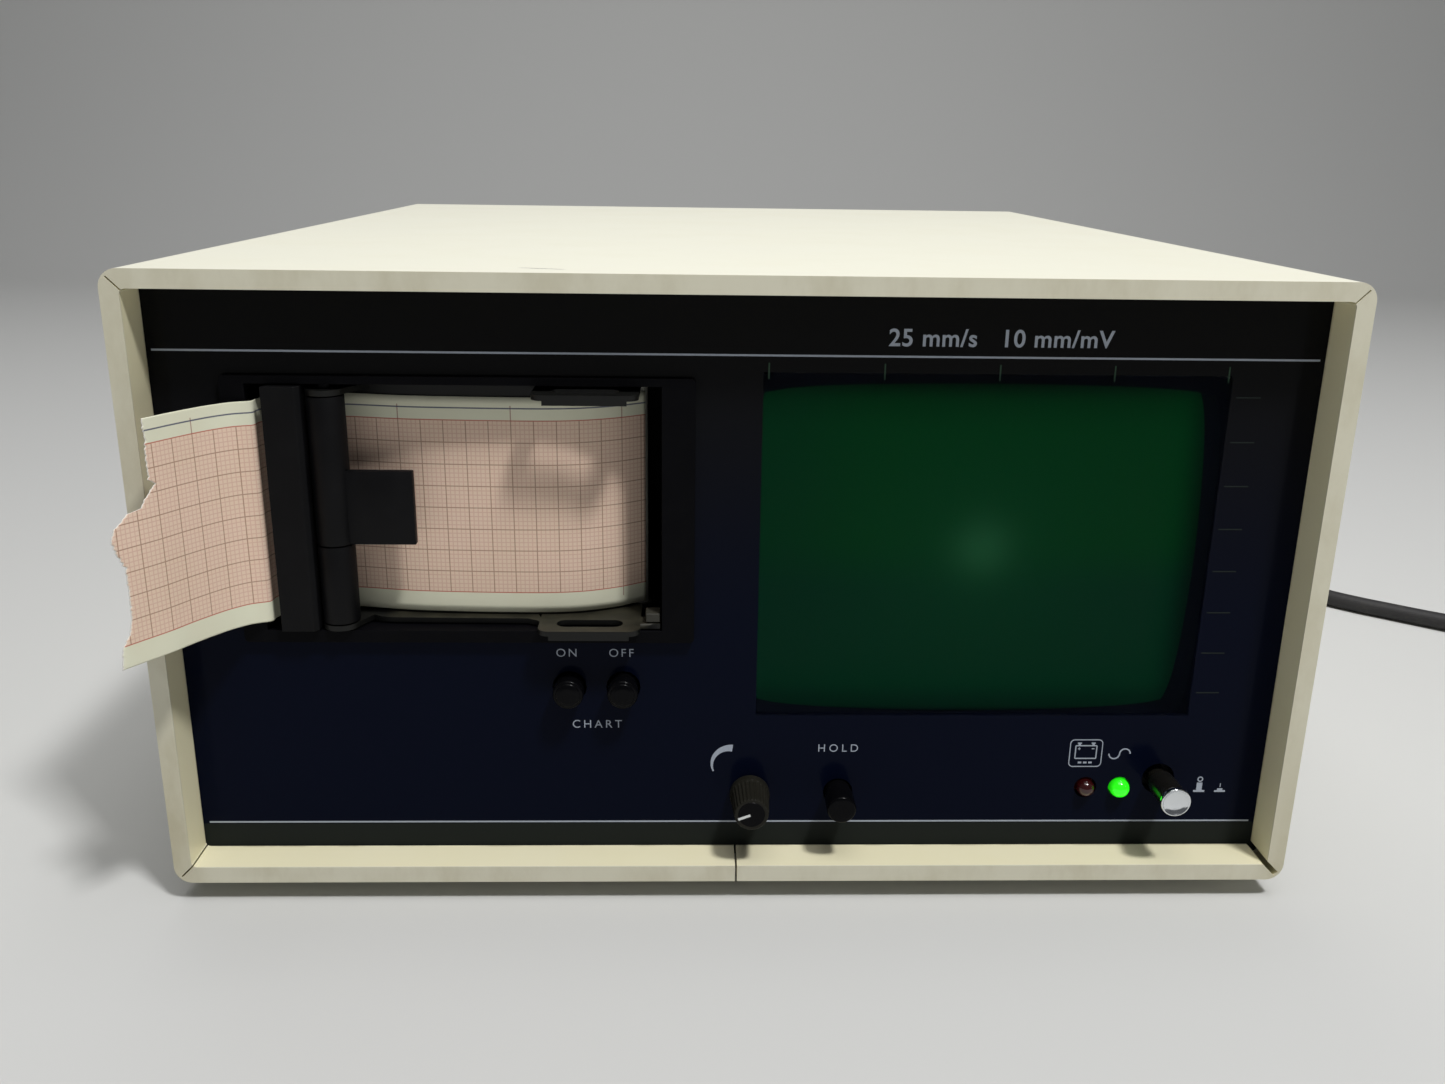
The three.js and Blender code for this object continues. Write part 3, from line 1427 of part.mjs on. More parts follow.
// At rest the feet stand on z = 0, and the origin is under the middle of all but the cord
const extent = new THREE.Box3();
monitor.children.forEach((mesh) => extent.expandByObject(mesh));
const shift = (extent.min.y + extent.max.y) / 2;
console.log('moved back by', (-shift).toFixed(3), 'and up by', footHeight);
cordGroup.position.set(reliefX, rearOuter, 0);
monitor.add(cordGroup);
monitor.position.set(0, -shift, footHeight);

export default monitor;
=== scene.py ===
import json
import math

import bmesh
import bpy
from mathutils import Matrix, Vector, noise

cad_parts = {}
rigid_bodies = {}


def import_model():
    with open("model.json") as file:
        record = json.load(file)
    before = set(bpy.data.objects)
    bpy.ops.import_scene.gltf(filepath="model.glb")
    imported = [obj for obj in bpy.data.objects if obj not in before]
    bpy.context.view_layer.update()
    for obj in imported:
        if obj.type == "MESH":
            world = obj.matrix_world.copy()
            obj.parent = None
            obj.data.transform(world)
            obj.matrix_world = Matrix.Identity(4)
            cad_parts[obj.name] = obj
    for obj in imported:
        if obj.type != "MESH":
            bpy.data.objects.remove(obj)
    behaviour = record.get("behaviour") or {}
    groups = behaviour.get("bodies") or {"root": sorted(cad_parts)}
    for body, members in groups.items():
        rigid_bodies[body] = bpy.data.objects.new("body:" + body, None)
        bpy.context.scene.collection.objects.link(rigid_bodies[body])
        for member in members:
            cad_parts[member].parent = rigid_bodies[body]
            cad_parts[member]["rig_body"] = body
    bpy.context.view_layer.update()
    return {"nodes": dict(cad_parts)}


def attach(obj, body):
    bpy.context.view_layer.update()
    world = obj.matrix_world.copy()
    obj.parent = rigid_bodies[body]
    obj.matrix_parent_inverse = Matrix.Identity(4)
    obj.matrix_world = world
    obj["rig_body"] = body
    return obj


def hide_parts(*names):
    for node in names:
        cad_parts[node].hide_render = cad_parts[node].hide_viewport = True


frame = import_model()
solids = frame["nodes"]
print("frame loaded:", len(solids), "solids")

# Pieces are shaped in millimetres in the row frame, and brought to metres when they are finished.
# The case's front edge is at y = -141.252 and the table at z = 0.
caseFront = -141.252
inkFront = caseFront + 9.75
inkBack = inkFront + 0.06


def added(name, data):
    # a new object in the scene
    thing = bpy.data.objects.new(name, data)
    bpy.context.scene.collection.objects.link(thing)
    return thing


# Camera, at the height and the slight turn that the photograph was taken from
camera = {
    "place": (-12.4704, -259.8576 + caseFront, 169.5454),
    "pitch": 0.3022,
    "yaw": 0.0315,
    "roll": 0.0144,
    "focal": 1264.689,
    "frameWidth": 1445,
    "filmWidth": 36,
}


def makeCamera():
    pitch, yaw, roll = camera["pitch"], camera["yaw"], camera["roll"]
    forward = Vector((math.sin(yaw) * math.cos(pitch), math.cos(yaw) * math.cos(pitch), -math.sin(pitch)))
    level = Vector((math.cos(yaw), -math.sin(yaw), 0))
    upright = level.cross(forward)
    right = math.cos(roll) * level + math.sin(roll) * upright
    up = math.cos(roll) * upright - math.sin(roll) * level
    data = bpy.data.cameras.new("frontView")
    data.sensor_fit = "HORIZONTAL"
    data.sensor_width = camera["filmWidth"]
    data.lens = camera["focal"] / camera["frameWidth"] * camera["filmWidth"]
    data.clip_start = 0.01
    thing = added("frontView", data)
    turn = Matrix((right, up, -forward)).transposed().to_4x4()
    thing.matrix_world = Matrix.Translation(Vector(camera["place"]) * 0.001) @ turn
    bpy.context.scene.camera = thing


makeCamera()


# Shader nodes: arithmetic on a Wire adds Math nodes to its finish
class Wire:
    def __init__(self, finish, socket):
        self.finish = finish
        self.socket = socket

    def math(self, operation, *values):
        return self.finish.node("Math", {"operation": operation}, values)

    def __add__(self, other):
        return self.math("ADD", self, other)

    def __sub__(self, other):
        return self.math("SUBTRACT", self, other)

    def __rsub__(self, other):
        return self.math("SUBTRACT", other, self)

    def __mul__(self, other):
        return self.math("MULTIPLY", self, other)

    def __abs__(self):
        return self.math("ABSOLUTE", self)

    def larger(self, other):
        return self.math("MAXIMUM", self, other)

    def smaller(self, other):
        return self.math("MINIMUM", self, other)

    def rise(self, low, high):
        # 0 below low, 1 above high, smooth between them; low may be the greater one
        settings = {"interpolation_type": "SMOOTHSTEP"}
        return self.finish.node("MapRange", settings, {"Value": self, "From Min": low, "From Max": high})

    def within(self, low, high, soft):
        return self.rise(low, low + soft) * self.rise(high, high - soft)

    def toNearest(self, step):
        # distance to the nearest multiple of step
        return abs(self.math("WRAP", self, step / 2, -step / 2))

    __radd__ = __add__
    __rmul__ = __mul__


class Finish:
    made = {}

    def __init__(self, name, colour, roughness, **uniform):
        self.material = bpy.data.materials.new(name)
        self.material.use_nodes = True
        self.tree = self.material.node_tree
        self.shader = self.tree.nodes["Principled BSDF"]
        self.set("Base Color", colour)
        self.set("Roughness", roughness)
        for words, value in uniform.items():
            self.set(words.replace("_", " "), value)
        Finish.made[name] = self.material

    def set(self, socketName, value):
        self.feed(self.shader.inputs[socketName], value)

    def feed(self, socket, value):
        if isinstance(value, Wire):
            self.tree.links.new(value.socket, socket)
        elif hasattr(value, "__len__") and socket.type == "RGBA" and len(value) == 3:
            socket.default_value = (*value, 1)
        else:
            socket.default_value = value

    def node(self, kind, settings=None, values=(), output=0):
        # settings are set first; values go in by name or number
        made = self.tree.nodes.new("ShaderNode" + kind)
        for name, setting in (settings or {}).items():
            setattr(made, name, setting)
        pairs = values.items() if isinstance(values, dict) else enumerate(values)
        for key, value in pairs:
            self.feed(made.inputs[key], value)
        return Wire(self, made.outputs[output])

    def place(self):
        # the piece's own coordinates in millimetres, which are the row frame's
        raw = self.node("TexCoord", output=3)
        return self.node("VectorMath", {"operation": "SCALE"}, {0: raw, "Scale": 1000})

    def axes(self, vector):
        return [self.node("SeparateXYZ", None, [vector], output) for output in range(3)]

    def noise(self, size, detail=3, roughness=0.5, stretch=(1, 1, 1)):
        scaled = self.node("Mapping", None, {"Vector": self.place(), "Scale": stretch})
        values = {"Vector": scaled, "Scale": 1 / size, "Detail": detail, "Roughness": roughness}
        return self.node("TexNoise", None, values)

    def mix(self, factor, first, second):
        return self.node("Mix", {"data_type": "RGBA"}, {0: factor, 6: first, 7: second}, output=2)

    def relief(self, height, depth, strength):
        # depth in millimetres
        values = {"Height": height, "Distance": depth * 0.001, "Strength": strength}
        self.set("Normal", self.node("Bump", None, values))


def shade(red, green, blue):
    # a screen colour, 0 to 255, as the linear one that a shader takes
    def linear(level):
        level /= 255
        return level / 12.92 if level <= 0.04045 else ((level + 0.055) / 1.055) ** 2.4
    return (linear(red), linear(green), linear(blue))


# Mesh helpers
def addedMesh(name, shape, material, smooth=32):
    # an object from a bmesh in millimetres: scaled, shaded and named
    bmesh.ops.scale(shape, vec=(0.001, 0.001, 0.001), verts=shape.verts)
    mesh = bpy.data.meshes.new(name)
    shape.to_mesh(mesh)
    shape.free()
    mesh.shade_smooth()
    mesh.set_sharp_from_angle(angle=math.radians(smooth))
    mesh.materials.append(material)
    return added(name, mesh)


def finishPiece(name, shape, material, body, replaced=(), smooth=32):
    # a piece of the monitor, set on its body
    thing = addedMesh(name, shape, material, smooth)
    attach(thing, body)
    if replaced:
        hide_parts(*replaced)
    return thing


def refined(name, node, material, bevel, segments=2):
    # a copy of a solid with its loose triangles merged to faces and its edges eased
    shape = bmesh.new()
    shape.from_mesh(solids[node].data)
    bmesh.ops.remove_doubles(shape, verts=shape.verts, dist=0.000002)
    bmesh.ops.dissolve_limit(shape, angle_limit=math.radians(0.6), verts=shape.verts, edges=shape.edges)
    bmesh.ops.scale(shape, vec=(1000, 1000, 1000), verts=shape.verts)
    thing = finishPiece(name, shape, material, solids[node]["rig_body"], (node,))
    edge = thing.modifiers.new("edges", "BEVEL")
    edge.width = bevel * 0.001
    edge.segments = segments
    edge.limit_method = "ANGLE"
    edge.angle_limit = math.radians(38)
    edge.harden_normals = True
    edge.use_clamp_overlap = True
    return thing


def filleted(profile, radius, steps=4):
    # the profile with each inner corner rounded as far as its neighbours allow
    points = [Vector(point) for point in profile]
    rounded = [points[0]]
    for before, corner, after in zip(points, points[1:], points[2:]):
        back, ahead = before - corner, after - corner
        reach = min(radius, back.length * 0.45, ahead.length * 0.45)
        if reach < 0.01 or abs(back.normalized().cross(ahead.normalized())) < 0.02:
            rounded.append(corner)
            continue
        start, end = corner + back.normalized() * reach, corner + ahead.normalized() * reach
        for step in range(steps + 1):
            share = step / steps
            rounded.append((1 - share) ** 2 * start + 2 * share * (1 - share) * corner + share ** 2 * end)
    rounded.append(points[-1])
    return [tuple(point) for point in rounded]


def spinProfile(shape, profile, centre, axis="y", steps=56):
    # a profile of (radius, place along the axis) turned about an axis through centre
    along = {"x": Vector((1, 0, 0)), "y": Vector((0, 1, 0)), "z": Vector((0, 0, 1))}[axis]
    across = Vector((0, 0, 1)) if axis != "z" else Vector((1, 0, 0))
    verts = [shape.verts.new(across * radius + along * place) for radius, place in profile]
    edges = [shape.edges.new(pair) for pair in zip(verts, verts[1:])]
    bmesh.ops.spin(
        shape, geom=verts + edges, cent=(0, 0, 0), axis=along, angle=2 * math.pi, steps=steps, use_merge=True,
    )
    bmesh.ops.remove_doubles(shape, verts=connected(verts[0]), dist=0.0005)
    swept = connected(next(vert for vert in reversed(shape.verts[:]) if vert.is_valid))
    bmesh.ops.recalc_face_normals(shape, faces=facesAt(swept))
    bmesh.ops.translate(shape, verts=swept, vec=centre)
    return swept


def connected(start):
    # every point that edges join to start
    found, queue = {start}, [start]
    while queue:
        for edge in queue.pop().link_edges:
            for vert in edge.verts:
                if vert not in found:
                    found.add(vert)
                    queue.append(vert)
    return list(found)


def facesAt(verts):
    return list({face for vert in verts for face in vert.link_faces})


def turned(name, profile, centre, material, body, replaced=(), axis="y", steps=56):
    shape = bmesh.new()
    spinProfile(shape, profile, centre, axis, steps)
    return finishPiece(name, shape, material, body, replaced)


def aroundCircle(centre, reach, count, shift=0):
    # even places (x, z) round a circle, started a share of one step late
    angles = [2 * math.pi * (step + shift) / count for step in range(count)]
    return [(centre[0] + reach * math.cos(angle), centre[1] + reach * math.sin(angle)) for angle in angles]


def addBlock(shape, low, high, ease=0.0, segments=2):
    # a block between two corners, its edges eased
    middle = [(a + b) / 2 for a, b in zip(low, high)]
    size = [abs(b - a) for a, b in zip(low, high)]
    verts = bmesh.ops.create_cube(shape, size=1)["verts"]
    bmesh.ops.scale(shape, vec=size, verts=verts)
    bmesh.ops.translate(shape, vec=middle, verts=verts)
    if ease:
        edges = list({edge for vert in verts for edge in vert.link_edges})
        bmesh.ops.bevel(
            shape, geom=edges, offset=ease, segments=segments, profile=0.5, affect="EDGES", material=-1,
        )


# Ink on the fascia, a thin layer that faces the viewer
def inkBar(shape, left, right, low, high):
    addBlock(shape, (left, inkFront, low), (right, inkBack, high))


def inkRibbon(shape, centre, inner, outer, start, sweep, steps):
    # an arc or ring; angles in degrees from +x towards +z
    first = math.radians(start)
    ray = Vector((math.cos(first), 0, math.sin(first)))
    corners = [ray * inner, ray * outer]
    deeper = Vector((0, inkBack - inkFront, 0))
    profile = [corners[0], corners[1], corners[1] + deeper, corners[0] + deeper]
    verts = [shape.verts.new(point) for point in profile]
    face = shape.faces.new(verts)
    bmesh.ops.spin(
        shape, geom=[face] + list(face.edges) + verts, cent=(0, 0, 0), axis=(0, -1, 0),
        angle=math.radians(sweep), steps=steps, use_merge=abs(sweep) >= 360, use_duplicate=False,
    )
    swept = connected(verts[0])
    bmesh.ops.recalc_face_normals(shape, faces=facesAt(swept))
    bmesh.ops.translate(shape, verts=swept, vec=(centre[0], inkFront, centre[1]))


def inkText(shape, words, height, x, z, spacing, weight):
    # upright lettering, centred on x, its capitals as high as asked
    curve = bpy.data.curves.new("letters", "FONT")
    curve.body = words
    curve.size = height / 0.69
    curve.align_x = "CENTER"
    curve.space_character = spacing
    curve.extrude = (inkBack - inkFront) / 2
    curve.offset = weight
    thing = added("letters", curve)
    bpy.context.view_layer.update()
    mesh = bpy.data.meshes.new_from_object(thing.evaluated_get(bpy.context.evaluated_depsgraph_get()))
    middle = Matrix.Translation((x, (inkFront + inkBack) / 2, z))
    mesh.transform(middle @ Matrix.Rotation(math.pi / 2, 4, "X"))
    shape.from_mesh(mesh)
    bpy.data.objects.remove(thing)
    bpy.data.meshes.remove(mesh)


def inkFrame(shape, left, right, low, high, corner, wide):
    # an outline of bars, with quarter rings at its corners where they have room
    inkBar(shape, left + corner, right - corner, low, low + wide)
    inkBar(shape, left + corner, right - corner, high - wide, high)
    inkBar(shape, left, left + wide, low + corner, high - corner)
    inkBar(shape, right - wide, right, low + corner, high - corner)
    if corner > wide:
        for x, z, start in (
            (right - corner, high - corner, 0), (left + corner, high - corner, 90),
            (left + corner, low + corner, 180), (right - corner, low + corner, 270),
        ):
            inkRibbon(shape, (x, z), corner - wide, corner, start, 90, 8)


def inkSwell(shape, centre, radius, start, end, thin, thick):
    # an arc that widens steadily from start to end
    verts = bmesh.ops.create_grid(shape, x_segments=24, y_segments=1, size=0.5)["verts"]
    for vert in verts:
        share, side = vert.co.x + 0.5, vert.co.y
        angle = math.radians(start + (end - start) * share)
        reach = radius + side * (thin + (thick - thin) * share)
        vert.co = Vector((centre[0] + reach * math.cos(angle), inkFront, centre[1] + reach * math.sin(angle)))
    grown = bmesh.ops.extrude_face_region(shape, geom=facesAt(verts))
    moved = [item for item in grown["geom"] if isinstance(item, bmesh.types.BMVert)]
    bmesh.ops.translate(shape, verts=moved, vec=(0, inkBack - inkFront, 0))
    bmesh.ops.recalc_face_normals(shape, faces=facesAt(connected(verts[0])))


def catmullRom(points, steps):
    # even curve through the points
    ends = [2 * points[0] - points[1], *points, 2 * points[-1] - points[-2]]
    dense = []
    for a, b, c, d in zip(ends, ends[1:], ends[2:], ends[3:]):
        for step in range(steps):
            t = step / steps
            dense.append(0.5 * (2 * b + (c - a) * t + (2 * a - 5 * b + 4 * c - d) * t ** 2
                                + (3 * b - a - 3 * c + d) * t ** 3))
    return dense + [points[-1]]


# Finishes
def makeCream():
    cream = Finish("creamPaint", shade(238, 236, 215), 0.42, Coat_Weight=0.12, Coat_Roughness=0.3)
    x, y, z = cream.axes(cream.place())
    front = y.rise(caseFront + 0.5, caseFront + 0.1)
    inside = abs(x).rise(129.3, 128.9) * z.rise(5.7, 6.1) * z.rise(144.3, 143.9)
    reveal = y.rise(caseFront + 10.4, caseFront + 9.6) * (1 - front) * inside
    clouds = cream.noise(28, 4, 0.6)
    fine = cream.noise(1.6, 3, 0.7)
    smear = cream.noise(12, 5, 0.6, (1, 1, 0.5))
    # the front faces are painted darker all over, a painted shade, with grimy smears on top of it
    frontGrimeAndShade = front * (smear.rise(0.38, 0.72) * 0.2 + 0.32)
    corner = abs(x).rise(119, 129.5) * (1 - z.rise(20, 60)) * front
    # darker in patches at the back of the reveals, where they meet the fascia
    revealBackDarkening = y.rise(caseFront + 8.6, caseFront + 9.4) * reveal
    dust = z.rise(143.5, 144.9) * clouds.rise(0.45, 0.75) * 0.05
    base = cream.mix(clouds.rise(0.3, 0.75) * 0.2, shade(243, 241, 223), shade(236, 234, 211))
    base = cream.mix(dust, base, shade(205, 197, 172))
    base = cream.mix(frontGrimeAndShade + corner * 0.2, base, shade(172, 161, 124))
    base = cream.mix(reveal * (clouds * 0.3 + 0.42), base, shade(234, 224, 176))
    base = cream.mix(revealBackDarkening * smear.rise(0.4, 0.6) * 0.4, base, shade(128, 116, 88))
    specks = fine.rise(0.74, 0.8) * cream.noise(12, 2).rise(0.5, 0.7)
    base = cream.mix(specks * 0.5, base, shade(120, 108, 84))
    # a scrape through the paint on the top, near the front
    across = cream.noise(3.2, 3, 0.6)
    course = y + x * 0.24 + across * 1.6
    scrape = x.within(-48, -37, 1.5) * course.within(-141.6, -140.5, 0.35) * z.rise(144, 144.8)
    base = cream.mix(scrape.smaller(1), base, shade(112, 108, 100))
    cream.set("Base Color", base)
    cream.set("Roughness", 0.38 + clouds * 0.12 + frontGrimeAndShade * 0.2)
    cream.relief(cream.noise(0.9, 2, 0.5) * 0.6 + fine * 0.2, 0.05, 0.35)
    return cream.material


def makeAcrylic():
    # one tinted sheet, black behind its print and clear in front of the tube; its blue cast, greyer towards
    # the top, is a painted reflection
    acrylic = Finish("blackAcrylic", shade(5, 7, 13), 0.12, Specular_IOR_Level=0.045)
    x, z = acrylic.axes(acrylic.place())[::2]
    clear = x.within(4.3, 106.6, 0.25) * z.within(43, 123.8, 0.5)
    foot = z.rise(15.1, 14.7)
    haze = acrylic.noise(60, 3, 0.5)
    # painted reflection: blue-black low down, lighter grey towards the top
    base = acrylic.mix(z.rise(60, 135), shade(6, 11, 28), shade(18, 18, 18))
    base = acrylic.mix(foot * 0.8, base, shade(38, 42, 38))
    # the clear window carries the same painted blue reflection
    base = acrylic.mix(clear, base, shade(5, 9, 18))
    dust = acrylic.noise(2.2, 6, 0.75).rise(0.66, 0.86) * z.rise(24, 14)
    base = acrylic.mix(dust * 0.35, base, shade(90, 90, 84))
    acrylic.set("Base Color", base)
    acrylic.set("Roughness", 0.1 + haze * 0.08 + foot * 0.35 + dust * 0.3)
    acrylic.set("Alpha", 1 - clear * 0.7)
    return acrylic.material


def makeMoulding(name, colour, roughness, grain=0.35, wear=0.5, shine=0.35):
    moulding = Finish(name, colour, roughness, Specular_IOR_Level=shine)
    mottle = moulding.noise(7, 4, 0.6)
    grit = moulding.noise(0.55, 2, 0.6)
    lint = moulding.noise(1.4, 5, 0.8).rise(0.68, 0.82)
    paler = tuple(min(1, level * 2.2 + 0.006) for level in colour)
    base = moulding.mix(mottle.rise(0.35, 0.75) * 0.35 * wear, colour, paler)
    moulding.set("Base Color", moulding.mix(lint * 0.22 * wear, base, shade(110, 108, 100)))
    moulding.set("Roughness", roughness - 0.08 + mottle * 0.18)
    moulding.relief(grit, 0.05, grain)
    return moulding.material


def makeOlive():
    olive = Finish("olivePlate", shade(66, 65, 51), 0.42, Metallic=0.2, Specular_IOR_Level=0.35)
    x, z = olive.axes(olive.place())[::2]
    patches = olive.noise(5, 5, 0.65)
    base = olive.mix(patches.rise(0.3, 0.7), shade(36, 35, 28), shade(54, 52, 41))
    # the plate is blacked towards its hinge and above the chart; on its lower edges every face that does not
    # face up is painted dark, a painted shade under its lit top faces
    facing = olive.node("NewGeometry", output=1)
    level = olive.axes(facing)[2].rise(0.4, 0.8)
    blackedAndShaded = x.rise(-76, -82).larger(z.rise(116, 117.5)).larger(z.rise(66.7, 66.0) * (1 - level))
    base = olive.mix(blackedAndShaded * 0.94, base, shade(12, 13, 13))
    olive.set("Base Color", base)
    olive.set("Roughness", 0.38 + patches * 0.2)
    olive.relief(olive.noise(0.4, 2), 0.03, 0.3)
    return olive.material


def makeMetal(name, colour, roughness, grain=(1, 1, 1), depth=0.02, tarnish=0.3):
    metal = Finish(name, colour, roughness, Metallic=1.0)
    brushed = metal.noise(0.5, 3, 0.6, grain)
    cloud = metal.noise(9, 4, 0.6)
    duller = tuple(level * 0.55 for level in colour)
    metal.set("Base Color", metal.mix(cloud.rise(0.4, 0.8) * tarnish, colour, duller))
    metal.set("Roughness", roughness + cloud * 0.12 + brushed * 0.08)
    metal.relief(brushed, depth, 0.3)
    return metal.material


def makeRubber(name, colour, roughness, dusty=0.4):
    rubber = Finish(name, colour, roughness, Specular_IOR_Level=0.35)
    film = rubber.noise(3.5, 5, 0.7)
    rubber.set("Base Color", rubber.mix(film.rise(0.45, 0.8) * dusty, colour, shade(98, 94, 86)))
    rubber.set("Roughness", roughness + film * 0.12)
    rubber.relief(rubber.noise(0.3, 2), 0.03, 0.35)
    return rubber.material


paperPrint = {
    "pitch": 1,
    "heavy": 5,
    "seconds": 25,
    "foot": 50,
    "low": 4.75,
    "high": 44.75,
    "lineWide": 0.13,
    "blue": (47.3, 47.68),
}


def makeChart():
    # printed graph paper: the attribute holds millimetres along the chart and up it
    chart = Finish("chartPaper", shade(236, 222, 206), 0.78, Specular_IOR_Level=0.25)
    spread = chart.node("Attribute", {"attribute_name": "chartPlace"}, (), output=1)
    along, up, tear = chart.axes(spread)
    p = paperPrint
    inside = up.within(p["low"] - p["lineWide"], p["high"] + p["lineWide"], 0.05)
    grown = up - p["low"]

    def lines(value, pitch, half, soft):
        return value.toNearest(pitch).rise(half + soft, half)

    fine = lines(along, p["pitch"], 0.045, 0.12).larger(lines(grown, p["pitch"], 0.045, 0.12)) * inside
    heavy = lines(along, p["heavy"], 0.07, 0.1).larger(lines(grown, p["heavy"], 0.07, 0.1)) * inside
    ends = abs(grown - 20).within(19.85, 20.15, 0.08)
    seconds = lines(along, p["seconds"], 0.07, 0.1)
    foot = lines(along, p["foot"], 0.07, 0.1) * along.rise(20, 30)
    ticks = (seconds * up.within(44.6, 48.2, 0.2) + foot * up.within(2.4, 4.8, 0.2)).smaller(1)
    blue = up.within(*p["blue"], 0.07)
    fibre = chart.noise(0.7, 4, 0.7)
    cloud = chart.noise(14, 3, 0.5)
    margin = shade(232, 232, 208)
    ground = chart.mix(inside, margin, shade(238, 211, 190))
    ground = chart.mix(cloud.rise(0.35, 0.7) * 0.15, ground, shade(216, 200, 170))
    ground = chart.mix(fine * 0.34, ground, shade(196, 128, 110))
    ground = chart.mix(heavy * 0.56, ground, shade(140, 98, 70))
    ground = chart.mix(ends * 0.62, ground, shade(204, 96, 78))
    ground = chart.mix(ticks * 0.7, ground, shade(150, 84, 70))
    ground = chart.mix(blue * 0.85, ground, shade(44, 54, 96))
    ground = chart.mix(1 - tear.rise(0.0, 1.0), ground, shade(240, 236, 226))
    chart.set("Base Color", chart.mix(fibre.rise(0.5, 0.8) * 0.1, ground, shade(250, 246, 236)))
    chart.relief(fibre, 0.03, 0.25)
    return chart.material


def makePlainPaper():
    paper = Finish("rollPaper", shade(232, 226, 212), 0.8, Specular_IOR_Level=0.25)
    # the ends show the roll's layers round its centre
    x, y = paper.axes(paper.place())[:2]
    across, deep = x + 52, y + 93.25
    reach = across * across + deep * deep
    layers = (reach.math("SQRT", reach) * 9).toNearest(1)
    paper.set("Base Color", paper.mix(layers * 0.3, shade(234, 228, 214), shade(190, 178, 152)))
    paper.relief(paper.noise(0.8, 3), 0.04, 0.3)
    return paper.material


# where the painted reflection on the tube face is centred, and how fast it falls off
paintedReflection = {"x": 56.7, "z": 81.5, "spotFall": -0.021, "haloFall": -0.0016}


def makePhosphor():
    # dark green tube face painted as glowing green light, with a painted reflection as a brighter spot near
    # its middle and painted shade that darkens it towards its rim
    glass = Finish("screenGlass", shade(1, 6, 4), 0.3, Specular_IOR_Level=0.08)
    x, y, z = glass.axes(glass.place())
    face = y.rise(-105, -116)
    across = x - paintedReflection["x"]
    up = z - paintedReflection["z"]
    reach = across * across + up * up
    reflectionSpot = reach.math("EXPONENT", reach * paintedReflection["spotFall"])
    reflectionHalo = reach.math("EXPONENT", reach * paintedReflection["haloFall"])
    # painted shade: the glow is darker towards its top, bottom and right edges, and towards its left side
    head = z.rise(121.5, 115) * (1 - z.rise(108, 118) * 0.3)
    foot = z.rise(38.9, 41.3) * (1 - z.rise(47.5, 41.5) * 0.42)
    rimShade = x.rise(110.5, 100) * head * foot
    rows = (z * 1.9).toNearest(1)
    glow = glass.mix(z.rise(84, 70), shade(0, 51, 15), shade(1, 43, 21))
    glow = glass.mix(reflectionHalo * 0.5, glow, shade(4, 56, 26))
    glow = glass.mix(reflectionSpot * 0.75, glow, shade(28, 80, 48))
    glow = glass.mix(x.rise(36, 4) * 0.5, glow, shade(2, 38, 20))
    glow = glass.mix(1 - rimShade, glow, shade(0, 0, 0))
    glow = glass.mix(rows * 0.08, glow, shade(0, 20, 10))
    glass.set("Emission Color", glass.mix(face, (0, 0, 0), glow))
    glass.shader.inputs["Emission Strength"].default_value = 1.3
    glass.set("Roughness", 0.26 + glass.noise(20, 3, 0.5) * 0.1)
    return glass.material


def halved(colour):
    return tuple(level * 0.5 for level in colour)


def makeLens(name, colour, glow, strength):
    lens = Finish(name, colour, 0.16, Coat_Weight=0.4, Coat_Roughness=0.08)
    cloud = lens.noise(1.2, 3, 0.6)
    lens.set("Base Color", lens.mix(cloud.rise(0.4, 0.8) * 0.3, colour, halved(colour)))
    tip = lens.axes(lens.place())[1].rise(-131.5, -133.6)
    lens.set("Emission Color", lens.mix(tip, halved(glow), glow))
    lens.shader.inputs["Emission Strength"].default_value = strength
    return lens.material


def makeBoard():
    board = Finish("boardGreen", shade(30, 84, 48), 0.42, Coat_Weight=0.2)
    x, y, z = board.axes(board.place())
    tracks = (x + board.noise(14, 1) * 9).toNearest(2.4).rise(0.42, 0.3).larger(
        (y + board.noise(11, 1) * 8).toNearest(3.1).rise(0.36, 0.26))
    # whatever stands above the board is a package
    parts = z.rise(19.0, 19.4)
    base = board.mix(tracks * 0.5, shade(24, 74, 42), shade(60, 124, 78))
    packages = board.mix(board.noise(16, 0).rise(0.45, 0.5), shade(26, 26, 28), shade(96, 84, 60))
    base = board.mix(parts, base, packages)
    board.set("Base Color", base)
    board.relief(tracks * 0.4, 0.05, 0.4)
    return board.material


def makeInk(name, colour):
    ink = Finish(name, colour, 0.55, Specular_IOR_Level=0.2)
    worn = ink.noise(1.1, 4, 0.7)
    thinner = tuple(level * 0.55 for level in colour)
    ink.set("Base Color", ink.mix(worn.rise(0.5, 0.85) * 0.35, colour, thinner))
    return ink.material


creamPaint = makeCream()
blackAcrylic = makeAcrylic()
blackMoulding = makeMoulding("blackMoulding", shade(8, 8, 10), 0.5, shine=0.14)
frameMoulding = makeMoulding("frameMoulding", shade(6, 6, 9), 0.55, 0.35, 0.3, 0.06)
# the tube frame is lighter and bluer than the other mouldings: painted light that offsets its shade behind
# the window and matches the fascia's painted reflection
shroudBlack = makeMoulding("shroudBlack", shade(14, 17, 28), 0.7, 0.2, 0.05, 0.02)
rearPaint = makeMoulding("rearPaint", shade(25, 25, 27), 0.46, 0.5, 0.5, 0.3)
glossMoulding = makeMoulding("glossMoulding", shade(7, 7, 9), 0.22, 0.1, 0.2, 0.07)
barrelMoulding = makeMoulding("barrelMoulding", shade(20, 19, 16), 0.24, 0.1, 0.2, 0.7)
knobMoulding = makeMoulding("knobMoulding", shade(30, 29, 24), 0.4, 0.2, 0.5, 0.12)
olivePlate = makeOlive()
bareSteel = makeMetal("bareSteel", shade(168, 170, 172), 0.3)
bareAlloy = makeMetal("bareAlloy", shade(182, 184, 186), 0.38, (1, 0.1, 1))
